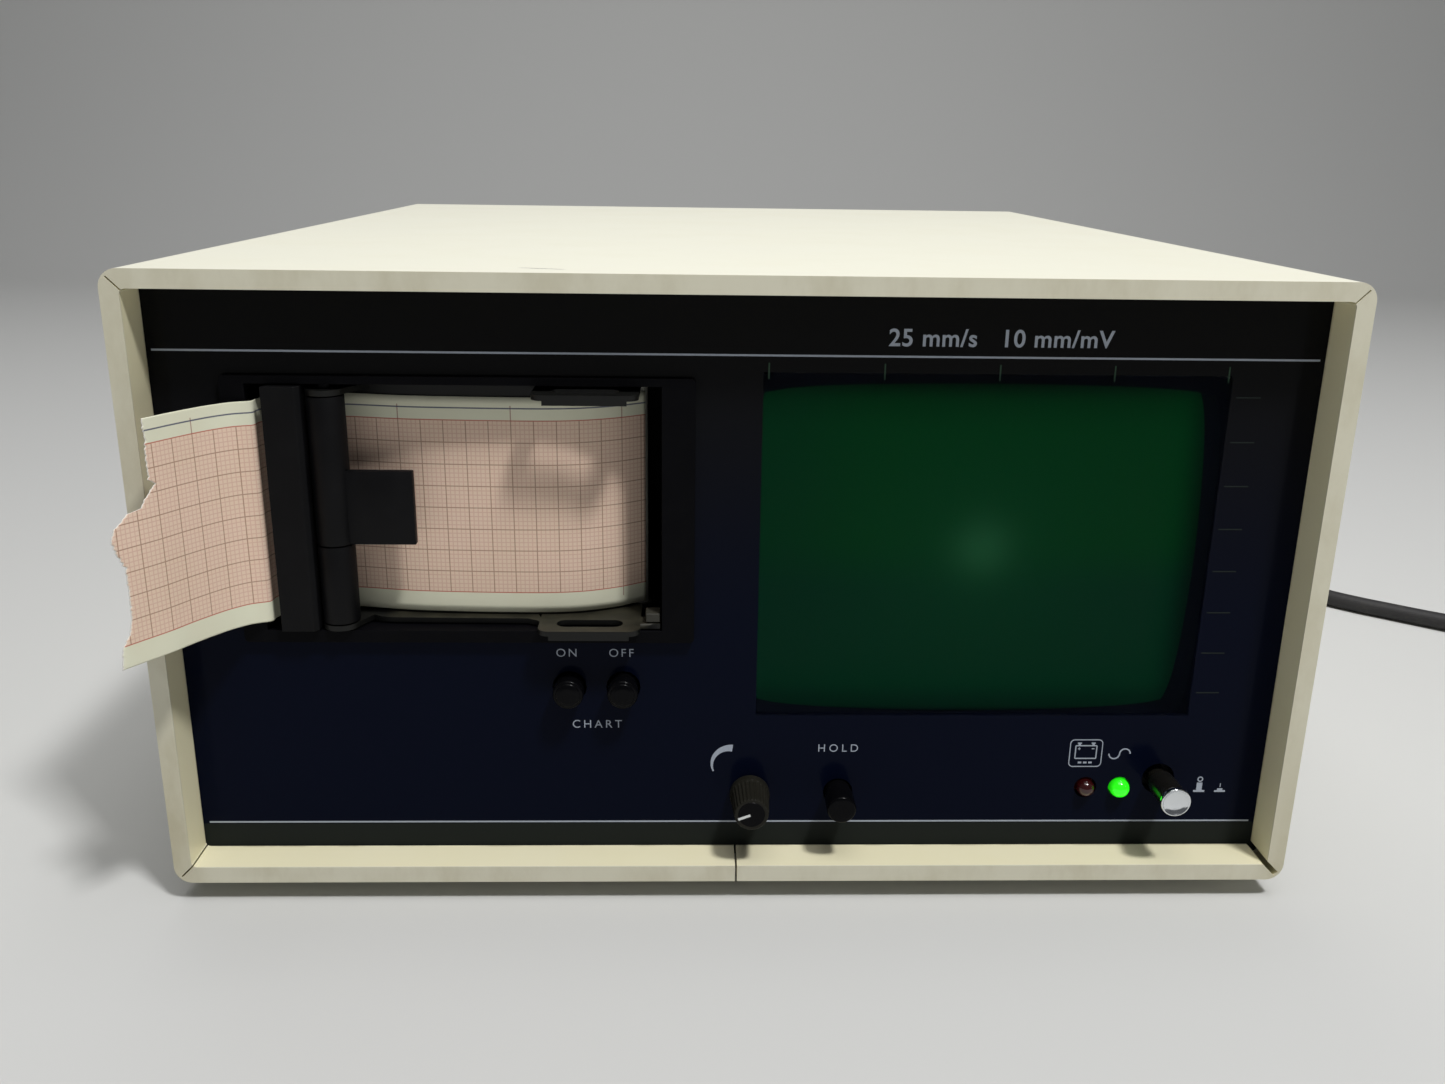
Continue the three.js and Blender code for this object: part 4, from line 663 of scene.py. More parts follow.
brightChrome = makeMetal("brightChrome", shade(226, 229, 232), 0.05, (1, 1, 1), 0.004, 0.12)
plugBrass = makeMetal("plugBrass", shade(206, 190, 140), 0.26)
blackRubber = makeRubber("blackRubber", shade(26, 26, 27), 0.62)
cordSheath = makeRubber("cordSheath", shade(44, 43, 44), 0.5, 0.25)
chartPaper = makeChart()
rollPaper = makePlainPaper()
paleNylon = makeMoulding("paleNylon", shade(176, 175, 164), 0.45, 0.2, 0.4)
greyNylon = makeMoulding("greyNylon", shade(50, 49, 42), 0.5, 0.3, 0.6)
blackedSteel = makeMetal("blackedSteel", shade(30, 30, 32), 0.34)
screenGlass = makePhosphor()
# the battery lamp is off; its lens's faint emission is a painted glow
redLens = makeLens("redLens", shade(44, 9, 9), shade(60, 6, 6), 0.15)
greenLens = makeLens("greenLens", shade(40, 200, 30), shade(34, 240, 14), 0.95)
boardGreen = makeBoard()
windingYellow = makeMetal("windingYellow", shade(176, 112, 44), 0.4, (1, 1, 12), 0.2)
batteryBlue = makeMoulding("batteryBlue", shade(44, 70, 112), 0.35, 0.1, 0.3)
paleInk = makeInk("paleInk", shade(170, 178, 192))
greenInk = makeInk("greenInk", shade(48, 74, 56))
dimInk = makeInk("dimInk", shade(28, 36, 34))
print("finishes made:", len(Finish.made))


# Cord: the free stretch as the table takes it, then the coil of the spare length
cord = {
    "radius": 3.1,
    "route": [
        (95, 329, 30), (95, 341, 29.8), (95.6, 354, 28), (97.8, 367, 23.4), (102.4, 379, 16.4),
        (109.5, 388.6, 9), (119.2, 395.6, 3), (131, 399.4, -0.6), (144, 400, -1.8), (158, 397.6, -1.8),
        (172, 392, -1.8), (185, 384, -1.8), (197, 373, -1.8), (207, 360, -1.8), (214.6, 345, -1.8),
        (220, 329, -1.8), (223.6, 312, -1.8), (226, 295, -1.8), (227.8, 278, -1.8), (229.2, 261, -1.8),
        (230.6, 245, -1.8), (232.4, 230, -1.8), (235.4, 217, -1.8), (240.6, 206, -1.8),
        (248.4, 197.4, -1.8), (258.4, 189, -1.8), (270, 179.4, -1.7), (282.6, 169.4, -1.3),
        (295.6, 159.3, -0.8), (308.6, 149.5, -0.4), (322.1, 139.3, -0.3),
    ],
    "coilPlace": (298, 97),
    "coilLow": -0.3,
    "coilMiddle": 37,
    "coilPitch": 6.75,
    "coilTurns": 7,
    "coilEntry": math.radians(52.6),
    "climbTurns": 0.5,
    "coilDip": 1.4,
    "coilSteps": 24,
    "plugLead": 20,
}
cordShift = Vector((0, caseFront, 5))


def cordPath():
    # the free route, then a flat coil that climbs once and winds back over itself, then the lead to the plug
    turns = cord["coilTurns"] + cord["coilEntry"] / (2 * math.pi)
    inward = (turns - cord["climbTurns"]) / 2
    spread = cord["coilPitch"] * inward / 2
    path = [Vector(point) for point in cord["route"]]
    count = round(turns * cord["coilSteps"])
    for step in range(count + 1):
        turn = turns * step / count
        climb = min(max((turn - inward) / cord["climbTurns"], 0), 1)
        spiral = turn if turn <= inward else turns - turn
        radius = cord["coilMiddle"] + spread - cord["coilPitch"] * min(spiral, inward)
        radius -= cord["coilDip"] * math.sin(math.pi * climb)
        rise = cord["coilPitch"] * (1 - math.cos(math.pi * climb)) / 2
        angle = cord["coilEntry"] - 2 * math.pi * turn
        x = cord["coilPlace"][0] + radius * math.cos(angle)
        y = cord["coilPlace"][1] + radius * math.sin(angle)
        path.append(Vector((x, y, cord["coilLow"] + rise)))
    path.append(path[-1] + Vector((0, -cord["plugLead"], 0)))
    return [(point + cordShift) * 0.001 for point in path]


def makeCord():
    path = cordPath()
    curve = bpy.data.curves.new("mainsLead", "CURVE")
    curve.dimensions = "3D"
    curve.bevel_depth = cord["radius"] * 0.001
    curve.bevel_resolution = 4
    curve.resolution_u = 4
    curve.use_fill_caps = True
    line = curve.splines.new("BEZIER")
    line.bezier_points.add(len(path) - 1)
    for knot, point in zip(line.bezier_points, path):
        knot.co = point
        knot.handle_left_type = knot.handle_right_type = "AUTO"
    curve.materials.append(cordSheath)
    lead = added("mainsLead", curve)
    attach(lead, "root")
    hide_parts("mains_cord", "mains_cord_coil")
    length = sum((b - a).length for a, b in zip(path, path[1:]))
    return lead, path, length


strainRelief = {
    "place": (95, 0, 35),
    "lock": (148.85, 150.95),
    "panel": 153.05,
    "start": 155.45,
    "length": 32,
    "flange": 8,
    "radius": 6,
    "tip": 4.4,
    "ribs": 6,
    "groove": 0.9,
}


def makeStrainRelief():
    # a lock behind the panel, a flange in front of it, and a tapered neck of rings
    s = strainRelief
    flange, (inner, outer) = s["flange"], s["lock"]
    profile = [(0, inner), (flange, inner), (flange, outer), (s["radius"], outer), (s["radius"], s["panel"])]
    profile += [(flange, s["panel"]), (flange, s["start"])]
    step = s["length"] / s["ribs"]
    for rib in range(s["ribs"]):
        start = s["start"] + rib * step
        radius = s["radius"] + (s["tip"] - s["radius"]) * rib / s["ribs"]
        profile += [(radius, start), (radius, start + 0.6 * step)]
        if rib < s["ribs"] - 1:
            profile += [(radius - s["groove"], start + 0.6 * step), (radius - s["groove"], start + step)]
    profile += [(s["tip"], s["start"] + s["length"]), (0, s["start"] + s["length"])]
    return turned(
        "strainRelief", filleted(profile, 0.45), s["place"], blackRubber, "root", ("strain_relief",),
        steps=40,
    )


plug = {
    "x": 346.2,
    "z": 11.45,
    "front": -64.55,
    "waist": 14,
    "length": 38,
    "wide": 25,
    "high": 22.9,
    "ease": 5.5,
    "grips": 4,
    "gripStart": 12,
    "gripStep": 4.5,
    "gripHalf": 6,
    "bladeReach": 6.35,
    "earthDrop": 4.4,
}


def makePlug():
    # a moulded body with ribbed grips and a ringed neck, and its two blades and earth pin
    p = plug
    x, z, front = p["x"], p["z"], p["front"]
    halfWide, halfHigh = p["wide"] / 2, p["high"] / 2
    shape = bmesh.new()
    back = front - p["waist"]
    face = back - p["length"]
    addBlock(shape, (x - halfWide, face, z - halfHigh), (x + halfWide, back, z + halfHigh), p["ease"], 6)
    for grip in range(p["grips"]):
        y = face + p["gripStart"] + grip * p["gripStep"]
        for side in (-1, 1):
            edge = x + side * (halfWide - 0.35)
            addBlock(shape, (edge - 0.6, y, z - p["gripHalf"]), (edge + 0.35, y + 2, z + p["gripHalf"]), 0.3)
    neck = [(0, front), (4, front), (4.6, front - 3), (4.2, front - 3.6), (4.4, front - 5), (5.3, front - 6)]
    neck += [(4.9, front - 6.8), (5.2, front - 8.2), (6.2, front - 9.4), (6.9, back - 1), (7.2, back - 4)]
    neck += [(0, back - 4)]
    spinProfile(shape, filleted(neck, 0.5), (x, 0, z), "y", 40)
    body = finishPiece("plugBody", shape, blackRubber, "root", ("mains_plug",))
    pins = bmesh.new()
    for middle in (x - p["bladeReach"], x + p["bladeReach"]):
        addBlock(pins, (middle - 0.75, face - 17, z - 0.95), (middle + 0.75, face + 1, z + 5.35), 0.3)
    earth = [(0, face + 1), (2.4, face + 1), (2.4, face - 18.2), (1.4, face - 20), (0, face - 20)]
    spinProfile(pins, filleted(earth, 0.6), (x, 0, z - p["earthDrop"]), "y", 32)
    blades = finishPiece("plugPins", pins, plugBrass, "root", ("mains_plug",))
    return body, blades


lead, leadPath, leadLength = makeCord()
relief = makeStrainRelief()
plugBody, plugPins = makePlug()
tie = refined("cordTie", "cord_tie", blackRubber, 0.2)
print("cord laid:", round(leadLength, 3), "m")


# Case
refined("caseSleeve", "case_sleeve", creamPaint, 0.45, 3)
refined("chassisTray", "chassis_tray", bareAlloy, 0.15)
refined("rearPanel", "rear_panel", rearPaint, 0.2)
refined("frontFascia", "front_fascia", blackAcrylic, 0.12)

feet = {
    "radius": 8,
    "tip": 6.6,
    "high": 4.7,
    "edge": 1.2,
    "recess": 2.6,
    "recessHigh": 2.4,
    "places": {
        "front_left_foot": (-104, -111.252), "front_right_foot": (104, -111.252),
        "rear_left_foot": (-104, 126.748), "rear_right_foot": (104, 126.748),
    },
}


def makeFeet():
    # moulded rubber feet with a recess for the screw that holds each one
    f = feet
    profile = [(0, f["recessHigh"]), (f["recess"], f["recessHigh"]), (f["recess"], 0)]
    profile += [(f["tip"] - f["edge"], 0), (f["tip"], f["edge"]), (f["radius"], f["high"] - f["edge"])]
    profile += [(f["radius"], f["high"]), (0, f["high"])]
    for node, (x, y) in f["places"].items():
        name = "".join(part.capitalize() for part in node.split("_"))
        turned(name[0].lower() + name[1:], filleted(profile, 0.5), (x, y, 0), blackRubber, "root", (node,),
               "z", 40)


makeFeet()

rearScrew = {
    "x": 121,
    "rows": (16, 134),
    "seat": 152.75,
    "radius": 2.6,
    "high": 1.5,
    "slotReach": 1.7,
    "slotHalf": 0.28,
    "slotFloor": 153.6,
    "slotTop": 154.28,
}


def makeRearScrews():
    # pan-head screws at the rear panel's corners; each cross recess is a black block set in the head, painted
    # shade in place of a hollow
    s = rearScrew
    radius, high, reach, half = s["radius"], s["high"], s["slotReach"], s["slotHalf"]
    head = [(0, 0), (radius, 0), (radius, high * 0.45), (radius * 0.72, high * 0.9)]
    head += [(radius * 0.35, high), (0, high)]
    shape = bmesh.new()
    recessShade = bmesh.new()
    for x in (-s["x"], s["x"]):
        for z in s["rows"]:
            spinProfile(shape, filleted(head, 0.4, 3), (x, s["seat"], z), "y", 28)
            addBlock(recessShade, (x - reach, s["slotFloor"], z - half), (x + reach, s["slotTop"], z + half))
            addBlock(recessShade, (x - half, s["slotFloor"], z - reach), (x + half, s["slotTop"], z + reach))
    finishPiece("rearScrews", shape, bareSteel, "root", ())
    finishPiece("rearScrewRecessShade", recessShade, blackRubber, "root")


makeRearScrews()

fuse = {"place": (58, 39), "grips": 16, "gripReach": 6.4, "gripHalf": 0.22}


def makeFuseHolder():
    # a body through the panel, its ribbed cap and the slot across the cap's face
    centreX, centreZ = fuse["place"]
    half = fuse["gripHalf"]
    profile = [(0, 125.25), (5.8, 125.25), (5.8, 153.05), (6.5, 153.05), (6.5, 160.25), (5, 161.75)]
    profile += [(3.4, 161.75), (3.4, 160.9), (0, 160.9)]
    shape = bmesh.new()
    spinProfile(shape, filleted(profile, 0.4), (centreX, 0, centreZ), "y", 48)
    for x, z in aroundCircle(fuse["place"], fuse["gripReach"], fuse["grips"]):
        addBlock(shape, (x - half, 154.2, z - half), (x + half, 159.6, z + half))
    addBlock(shape, (centreX - 3.1, 160.7, centreZ - 0.4), (centreX + 3.1, 161.5, centreZ + 0.4), 0.1)
    finishPiece("fuseHolder", shape, glossMoulding, "root", ("fuse_holder",))


makeFuseHolder()

patientSocket = {"place": (20, 45), "contacts": 5, "contactReach": 4.4}


def makePatientSocket():
    # round panel socket: a ringed metal shell, a dark insert and its contacts
    s = patientSocket
    x, z = s["place"]
    shell = [(8.4, 140.75), (8.4, 153.05), (9.5, 153.05), (9.5, 154.6), (8.7, 155.2), (8.7, 156.2)]
    shell += [(9.1, 156.6), (9.1, 159.2), (8.6, 159.748), (7, 159.748), (7, 147.75), (0, 147.75)]
    shell += [(0, 140.75), (8.4, 140.75)]
    turned("patientSocket", shell, (x, 0, z), bareSteel, "root", ("patient_socket",))
    insert = [(0, 147.9), (6.95, 147.9), (6.95, 148.6), (6.2, 149), (0, 149)]
    shape = bmesh.new()
    spinProfile(shape, filleted(insert, 0.2), (x, 0, z))
    addBlock(shape, (x - 1, 148, z + 5.6), (x + 1, 157, z + 7.1), 0.3)
    finishPiece("socketInsert", shape, blackMoulding, "root", ())
    contact = filleted([(0, 148.5), (0.9, 148.5), (0.9, 153.2), (0, 153.75)], 0.4)
    pins = bmesh.new()
    for pinX, pinZ in aroundCircle(s["place"], s["contactReach"], s["contacts"], 0.5):
        spinProfile(pins, contact, (pinX, 0, pinZ), "y", 16)
    finishPiece("socketContacts", pins, plugBrass, "root")


makePatientSocket()
print("case and rear fittings made")


# Recorder
refined("recorderFrame", "recorder_frame", frameMoulding, 0.4, 3)
refined("tearBar", "tear_bar", blackMoulding, 0.25)
refined("paperDoor", "paper_door", olivePlate, 0.25)
refined("doorCatch", "door_catch", greyNylon, 0.3)
refined("recorderHousing", "recorder_housing", blackMoulding, 0.3)
refined("printHead", "print_head", bareSteel, 0.15)

hinge = {
    "x": -89.75,
    "y": -130.652,
    "radius": 4.05,
    "bore": 1.8,
    "low": 66.5,
    "split": 84.6,
    "high": 117.85,
    "gap": 0.15,
    "tabStart": 2.6,
    "tabEnd": 18.05,
    "tabHigh": 16.7,
    "tabThick": 2,
    "tabFront": 2.05,
}


def hingeRing(low, high):
    # closed section of a knuckle round the hinge pin
    ring = [(hinge["bore"], low), (hinge["radius"], low), (hinge["radius"], high), (hinge["bore"], high)]
    ring = filleted([*ring, ring[0]], 0.25, 2)
    return [*ring[:-1], ring[0]]


def makeHingePost():
    ring = hingeRing(hinge["low"], hinge["split"] - hinge["gap"])
    turned("hingePost", ring, (hinge["x"], hinge["y"], 0), blackMoulding, "root", ("hinge_post",),
           "z", 48)


def makePaperClip():
    # the upper knuckle with the square tab that holds the chart against the door
    h = hinge
    low, front = h["split"] + h["gap"], h["y"] - h["tabFront"]
    shape = bmesh.new()
    spinProfile(shape, hingeRing(low, h["high"]), (h["x"], h["y"], 0), "z", 48)
    addBlock(shape, (h["x"] + h["tabStart"], front, low),
             (h["x"] + h["tabEnd"], front + h["tabThick"], low + h["tabHigh"]), 0.3)
    finishPiece("paperClip", shape, blackMoulding, "clip", ("paper_clip",))


makeHingePost()
makePaperClip()

rollers = {
    "platen": (-98.4, -118.965, 0),
    "guide": (-22.7487, -116.6105, 0),
    "roll": (-52, -93.252, 0),
    "motor": (-94.906, -105.925, 0),
}


def makeRollers():
    platen = [(0, 62), (1.5, 62), (1.5, 66.55), (4.9, 66.55), (5.2, 66.85), (5.2, 116.85), (4.9, 117.15)]
    platen += [(1.5, 117.15), (1.5, 126.9), (0, 126.9)]
    turned("platenRoller", platen, rollers["platen"], blackRubber, "platen", ("platen_roller",),
           "z", 48)
    guide = [(0, 64), (0.9, 64), (0.9, 65.5), (1.8, 65.5), (1.8, 117.85), (0.9, 117.85), (0.9, 119.35)]
    guide += [(0, 119.35)]
    turned("guideRoller", filleted(guide, 0.15, 2), rollers["guide"], paleNylon, "guide", ("guide_roller",),
           "z", 32)
    roll = [(6.5, 66.85), (19, 66.85), (19, 116.85), (6.5, 116.85), (6.5, 66.85)]
    turned("paperRoll", roll, rollers["roll"], rollPaper, "roll", ("paper_roll",), "z", 72)
    motor = [(0, 91.3), (7.3, 91.3), (7.6, 91.6), (7.6, 121.3), (3, 121.3), (3, 120.4), (1.3, 120.4)]
    motor += [(1.3, 118.3), (0, 118.3)]
    turned("paperMotor", motor, rollers["motor"], bareSteel, "root", ("paper_motor",), "z", 48)


makeRollers()

chart = {
    "low": 66.85,
    "width": 50,
    "thick": 0.14,
    "windowStart": -90.25,
    "windowSpan": 68.75,
    "windowFront": caseFront + 14.5,
    "bow": 8.3,
    "bowShares": [
        (0, 0.392), (0.055, 0.42), (0.262, 0.13), (0.584, 0), (0.764, 0.085), (0.896, 0.46), (1, 1),
    ],
    "windowMark": -75.75,
    "windowSteps": 14,
    "windowGrid": (90, 30),
    "stripStart": -90.7,
    "stripSpan": 36.95,
    "stripDepth": 40.26686,
    "stripShares": [
        (0, 0), (0.06043, 0.0063), (0.17168, 0.02138), (0.20693, 0.02712), (0.27742, 0.05357),
        (0.3347, 0.10587), (0.36995, 0.16823), (0.37876, 0.23561), (0.43714, 0.26176), (0.49442, 0.29194),
        (0.57483, 0.36938), (0.64863, 0.46895), (0.71802, 0.57758), (0.76759, 0.66508), (0.81605, 0.73951),
        (0.88655, 0.83908), (0.94603, 0.92557), (1, 1),
    ],
    "stripMark": -114.43,
    "stripSteps": 8,
    "stripGrid": (70, 190),
    "tornTip": -126.15,
    "tornDepth": 6.6,
    "tornEdge": 0.35,
    "ragged": [(0.22, 90, 3.1), (0.12, 260, 8.7)],
    "tornShares": [
        (0, 0), (0.09, 0.05), (0.128, 0.18), (0.19, 0.27), (0.283, 0.29), (0.413, 0.29), (0.493, 0.14),
        (0.543, 0.09), (0.583, 0.18), (0.633, 0.44), (0.64, 0.68), (0.693, 0.85), (0.728, 1), (0.748, 0.89),
        (0.823, 0.88), (0.913, 0.91), (1, 0.89),
    ],
}


def alongCurve(points):
    # running length at each point of a plan curve
    lengths = [0.0]
    for a, b in zip(points, points[1:]):
        lengths.append(lengths[-1] + (b - a).length)
    return lengths


def pointAt(points, lengths, reach):
    for i in range(1, len(points)):
        if lengths[i] >= reach or i == len(points) - 1:
            share = (reach - lengths[i - 1]) / max(lengths[i] - lengths[i - 1], 1e-9)
            return points[i - 1].lerp(points[i], min(max(share, 0), 1))


def lengthAtX(points, lengths, x):
    # where a curve that runs steadily in x reaches x
    for i in range(1, len(points)):
        a, b = points[i - 1].x, points[i].x
        if min(a, b) <= x <= max(a, b):
            return lengths[i - 1] + (lengths[i] - lengths[i - 1]) * (x - a) / (b - a)
    return lengths[-1]


def makeChartSheet(name, node, body, points, mark, grid, flutter, endOf=None):
    # a grid of paper along a plan curve; chartPlace holds its print's place
    lengths = alongCurve(points)
    start = lengthAtX(points, lengths, mark)
    shape = bmesh.new()
    bmesh.ops.create_grid(shape, x_segments=grid[0], y_segments=grid[1], size=0.5)
    places = {}
    for vert in shape.verts:
        u, v = vert.co.x + 0.5, vert.co.y + 0.5
        whole = endOf(v, points, lengths) if endOf else lengths[-1]
        reach = u * whole
        flat = pointAt(points, lengths, reach)
        height = v * chart["width"]
        vert.co = Vector((flat.x, flat.y + flutter(u, v), chart["low"] + height))
        tear = (whole - reach) / chart["tornEdge"] if endOf else 5
        places[vert.index] = (reach - start, height, tear)
    shape.verts.ensure_lookup_table()
    layer = shape.verts.layers.float_vector.new("chartPlace")
    for vert in shape.verts:
        vert[layer] = places[vert.index]
    bmesh.ops.recalc_face_normals(shape, faces=shape.faces)
    shape.faces.ensure_lookup_table()
    if shape.faces[0].normal.y > 0:
        bmesh.ops.reverse_faces(shape, faces=shape.faces)
    sheet = finishPiece(name, shape, chartPaper, body, (node,), 60)
    wall = sheet.modifiers.new("paper", "SOLIDIFY")
    wall.thickness = chart["thick"] * 0.001
    wall.offset = 0
    return sheet


def makeCharts():
    c = chart
    window = [
        Vector((c["windowStart"] + along * c["windowSpan"], c["windowFront"] + deep * c["bow"]))
        for along, deep in c["bowShares"]
    ]
    window = catmullRom(window, c["windowSteps"])

    def slack(u, v):
        # the upper edge of the web lies a little slack on its door
        return 0.12 * math.sin(5 * u) * max(v - 0.6, 0)

    makeChartSheet(
        "windowChart", "chart_paper_window", "door", window, c["windowMark"], c["windowGrid"], slack,
    )
    strip = [
        Vector((c["stripStart"] - across * c["stripSpan"], window[0].y - out * c["stripDepth"]))
        for across, out in c["stripShares"]
    ]
    strip = catmullRom(strip, c["stripSteps"])

    def tornEnd(v, points, lengths):
        for (v0, d0), (v1, d1) in zip(c["tornShares"], c["tornShares"][1:]):
            if v0 <= v <= v1 + 1e-6:
                depth = d0 + (d1 - d0) * (v - v0) / max(v1 - v0, 1e-6)
                break
        ragged = sum(size * noise.noise(Vector((v * rate, row, 0))) for size, rate, row in c["ragged"])
        return lengthAtX(points, lengths, min(c["tornTip"] + depth * c["tornDepth"] + 0.15 + ragged, -100))

    def curl(u, v):
        return 0.5 * max(u - 0.8, 0) * math.sin(9 * v + 1) + 0.15 * math.sin(3 * v) * max(u - 0.5, 0)

    makeChartSheet(
        "chartStrip", "chart_paper_strip", "root", strip, c["stripMark"], c["stripGrid"], curl, tornEnd,
    )


makeCharts()
print("recorder made")


# Screen: a bowed face, its skirt, the funnel and the neck, and the frame that holds the skirt
tube = {
    "middle": (55, 80.1),
    "wide": 105.2,
    "high": 81.2,
    "front": caseFront + 18.5,
    "bulge": 4,
    "bow": 0.06,
    "corner": 0.05,
    "cornerPower": 8,
    "skirt": 12,
    "funnel": 66,
    "funnelCurve": 1.4,
    "funnelSteps": 9,
    "neck": 10.5,
    "length": 150,
    "columns": 56,
    "rows": 44,
    "frameFront": -127.852,
    "frameBack": -110.752,
    "frameGap": 0.3,
    "frameRim": 4,
    "frameSides": 96,
}


def onFace(u, v):
    # the place on the tube's face for shares from -1 to 1 of its width and height
    t = tube
    rounding = t["corner"] * (u * v) ** t["cornerPower"]
    x = t["wide"] / 2 * u * math.sqrt(1 - t["bow"] * v * v - rounding)
    z = t["high"] / 2 * v * math.sqrt(1 - t["bow"] * u * u - rounding)
    return x, z


def inherited(fresh, plan):
    # each new point of an extruded ring, with the plan place of the point that it came from
    sources = {vert: [edge.other_vert(vert) for edge in vert.link_edges] for vert in fresh}
    return {vert: plan[next(other for other in others if other in plan)] for vert, others in sources.items()}


def makeScreenTube():
    t = tube
    shape = bmesh.new()
    bmesh.ops.create_grid(shape, x_segments=t["columns"], y_segments=t["rows"], size=1)
    for vert in shape.verts:
        x, z = onFace(vert.co.x, vert.co.y)
        reach = (2 * x / t["wide"]) ** 2 + (2 * z / t["high"]) ** 2
        vert.co = Vector((x, t["bulge"] * reach / 2, z))
    stations = [(t["skirt"], 1)]
    for step in range(1, t["funnelSteps"] + 1):
        share = step / t["funnelSteps"]
        spread = 1 - math.sin(share * math.pi / 2) ** t["funnelCurve"]
        stations.append((t["skirt"] + share * (t["funnel"] - t["skirt"]), spread))
    stations.append((t["length"], 0))
    ring = [edge for edge in shape.edges if edge.is_boundary]
    plan = {vert: Vector((vert.co.x, 0, vert.co.z)) for edge in ring for vert in edge.verts}
    for depth, spread in stations:
        bmesh.ops.extrude_edge_only(shape, edges=ring)
        ring = [edge for edge in shape.edges if edge.is_boundary]
        plan = inherited({vert for edge in ring for vert in edge.verts}, plan)
        for vert, flat in plan.items():
            neck = flat.normalized() * t["neck"]
            vert.co = neck + (flat - neck) * spread + Vector((0, depth, 0))
    bmesh.ops.contextual_create(shape, geom=ring)
    bmesh.ops.recalc_face_normals(shape, faces=shape.faces)
    bmesh.ops.translate(shape, verts=shape.verts, vec=(t["middle"][0], t["front"], t["middle"][1]))
    finishPiece("screenTube", shape, screenGlass, "root", ("screen_tube",), 50)


def makeTubeFrame():
    # a ring round the face: its hole, its back, its outer wall and its front
    t = tube
    shape = bmesh.new()
    bmesh.ops.create_circle(shape, cap_ends=False, radius=1, segments=t["frameSides"])
    plan = {}
    for vert in shape.verts:
        widest = max(abs(vert.co.x), abs(vert.co.y))
        plan[vert] = onFace(vert.co.x / widest, vert.co.y / widest)
    back, front = t["frameBack"], t["frameFront"]
    stations = [(t["frameGap"], back), (t["frameRim"], back), (t["frameRim"], front)]

    def setRing(ringPlan, grown, y):
        for vert, (x, z) in ringPlan.items():
            vert.co = Vector((x * (1 + 2 * grown / t["wide"]), y, z * (1 + 2 * grown / t["high"])))

    ring = shape.edges[:]
    setRing(plan, t["frameGap"], front)
    for grown, y in stations:
        made = bmesh.ops.extrude_edge_only(shape, edges=ring)["geom"]
        plan = inherited([item for item in made if isinstance(item, bmesh.types.BMVert)], plan)
        setRing(plan, grown, y)
        ring = [edge for edge in shape.edges if all(vert in plan for vert in edge.verts)]
    bmesh.ops.bridge_loops(shape, edges=[edge for edge in shape.edges if edge.is_boundary])
    bmesh.ops.recalc_face_normals(shape, faces=shape.faces)
    bmesh.ops.translate(shape, verts=shape.verts, vec=(t["middle"][0], 0, t["middle"][1]))
    finishPiece("tubeFrame", shape, shroudBlack, "root", ("tube_frame",))


makeScreenTube()
makeTubeFrame()


# Front controls
controls = {
    "chartButtons": [("runButton", "run_button", "run", -38.8), ("stopButton", "stop_button", "stop", -26.4)],
    "chartButtonZ": 50.2,
    "chartButtonRadius": 3.5,
    "chartButtonTip": -136.952,
    "holdPlace": (24.4, 23.1),
    "holdRadius": 3.1,
    "holdHead": 3.42,
    "holdTip": -140.752,
    "plungerRadius": 1.4,
    "plungerStart": -127.55,
    "plungerEnd": -122.152,
    "powerPlace": (101.3, 26.6),
    "powerStem": 2.3,
    "powerStemEnd": -117.152,
    "knobPlace": (3.3, 23),
    "lampZ": 24.3,
    "lampCollar": 2.35,
    "lampFlange": 2.83,
}
frontLamps = {
    "batteryLamp": {"node": "battery_lamp", "x": 83.9, "radius": 2.1, "tip": -133.8, "slot": "red_lens"},
    "mainsLamp": {"node": "mains_lamp", "x": 92.1, "radius": 2.35, "tip": -134.052, "slot": "green_lens"},
}


def makeButtons():
    c = controls
    start, end = c["plungerStart"], c["plungerEnd"]
    plunger = [(c["plungerRadius"], start), (c["plungerRadius"], end), (0, end)]
    for name, node, body, x in c["chartButtons"]:
        # a dished face inside a raised rim, on a straight barrel
        radius, tip = c["chartButtonRadius"], c["chartButtonTip"]
        profile = [(0, tip), (radius * 0.5, tip + 0.1), (radius * 0.76, tip + 0.4)]
        profile += [(radius * 0.8, tip + 0.62), (radius * 0.92, tip + 0.7), (radius, tip + 1.1)]
        profile += [(radius, tip + 3.6), (radius - 0.2, tip + 3.9), (radius - 0.2, start), *plunger]
        turned(name, filleted(profile, 0.35), (x, 0, c["chartButtonZ"]), glossMoulding, body, (node,))
    x, z = c["holdPlace"]
    radius, head, tip = c["holdRadius"], c["holdHead"], c["holdTip"]
    profile = [(0, tip), (head * 0.6, tip + 0.06), (head * 0.92, tip + 0.3), (head, tip + 0.9)]
    profile += [(head, -134.6), (radius, -134.2), (radius, start), *plunger]
    turned("holdButton", filleted(profile, 0.3), (x, 0, z), glossMoulding, "hold", ("hold_button",))
    # the barrel ends far enough in front of its switch for the whole travel
    x, z = c["powerPlace"]
    body = [(0, -141.952), (3, -141.952), (3.2, -141.7), (3.2, -135.952), (3.1, -135.5), (3.1, -133.2)]
    body += [(c["powerStem"], -132.75), (c["powerStem"], c["powerStemEnd"]), (0, c["powerStemEnd"])]
    turned("powerButton", filleted(body, 0.25), (x, 0, z), barrelMoulding, "power", ("power_button",))
    cap = [(0, -142.252), (3.45, -142.252), (3.5, -142.4), (3.5, -143.1), (3.38, -143.4), (3.15, -143.44)]
    cap += [(2.9, -143.2), (2.3, -142.9), (1.4, -142.7), (0, -142.62)]
    turned("powerCap", filleted(cap, 0.25), (x, 0, z), brightChrome, "power", ("power_button_cap",))


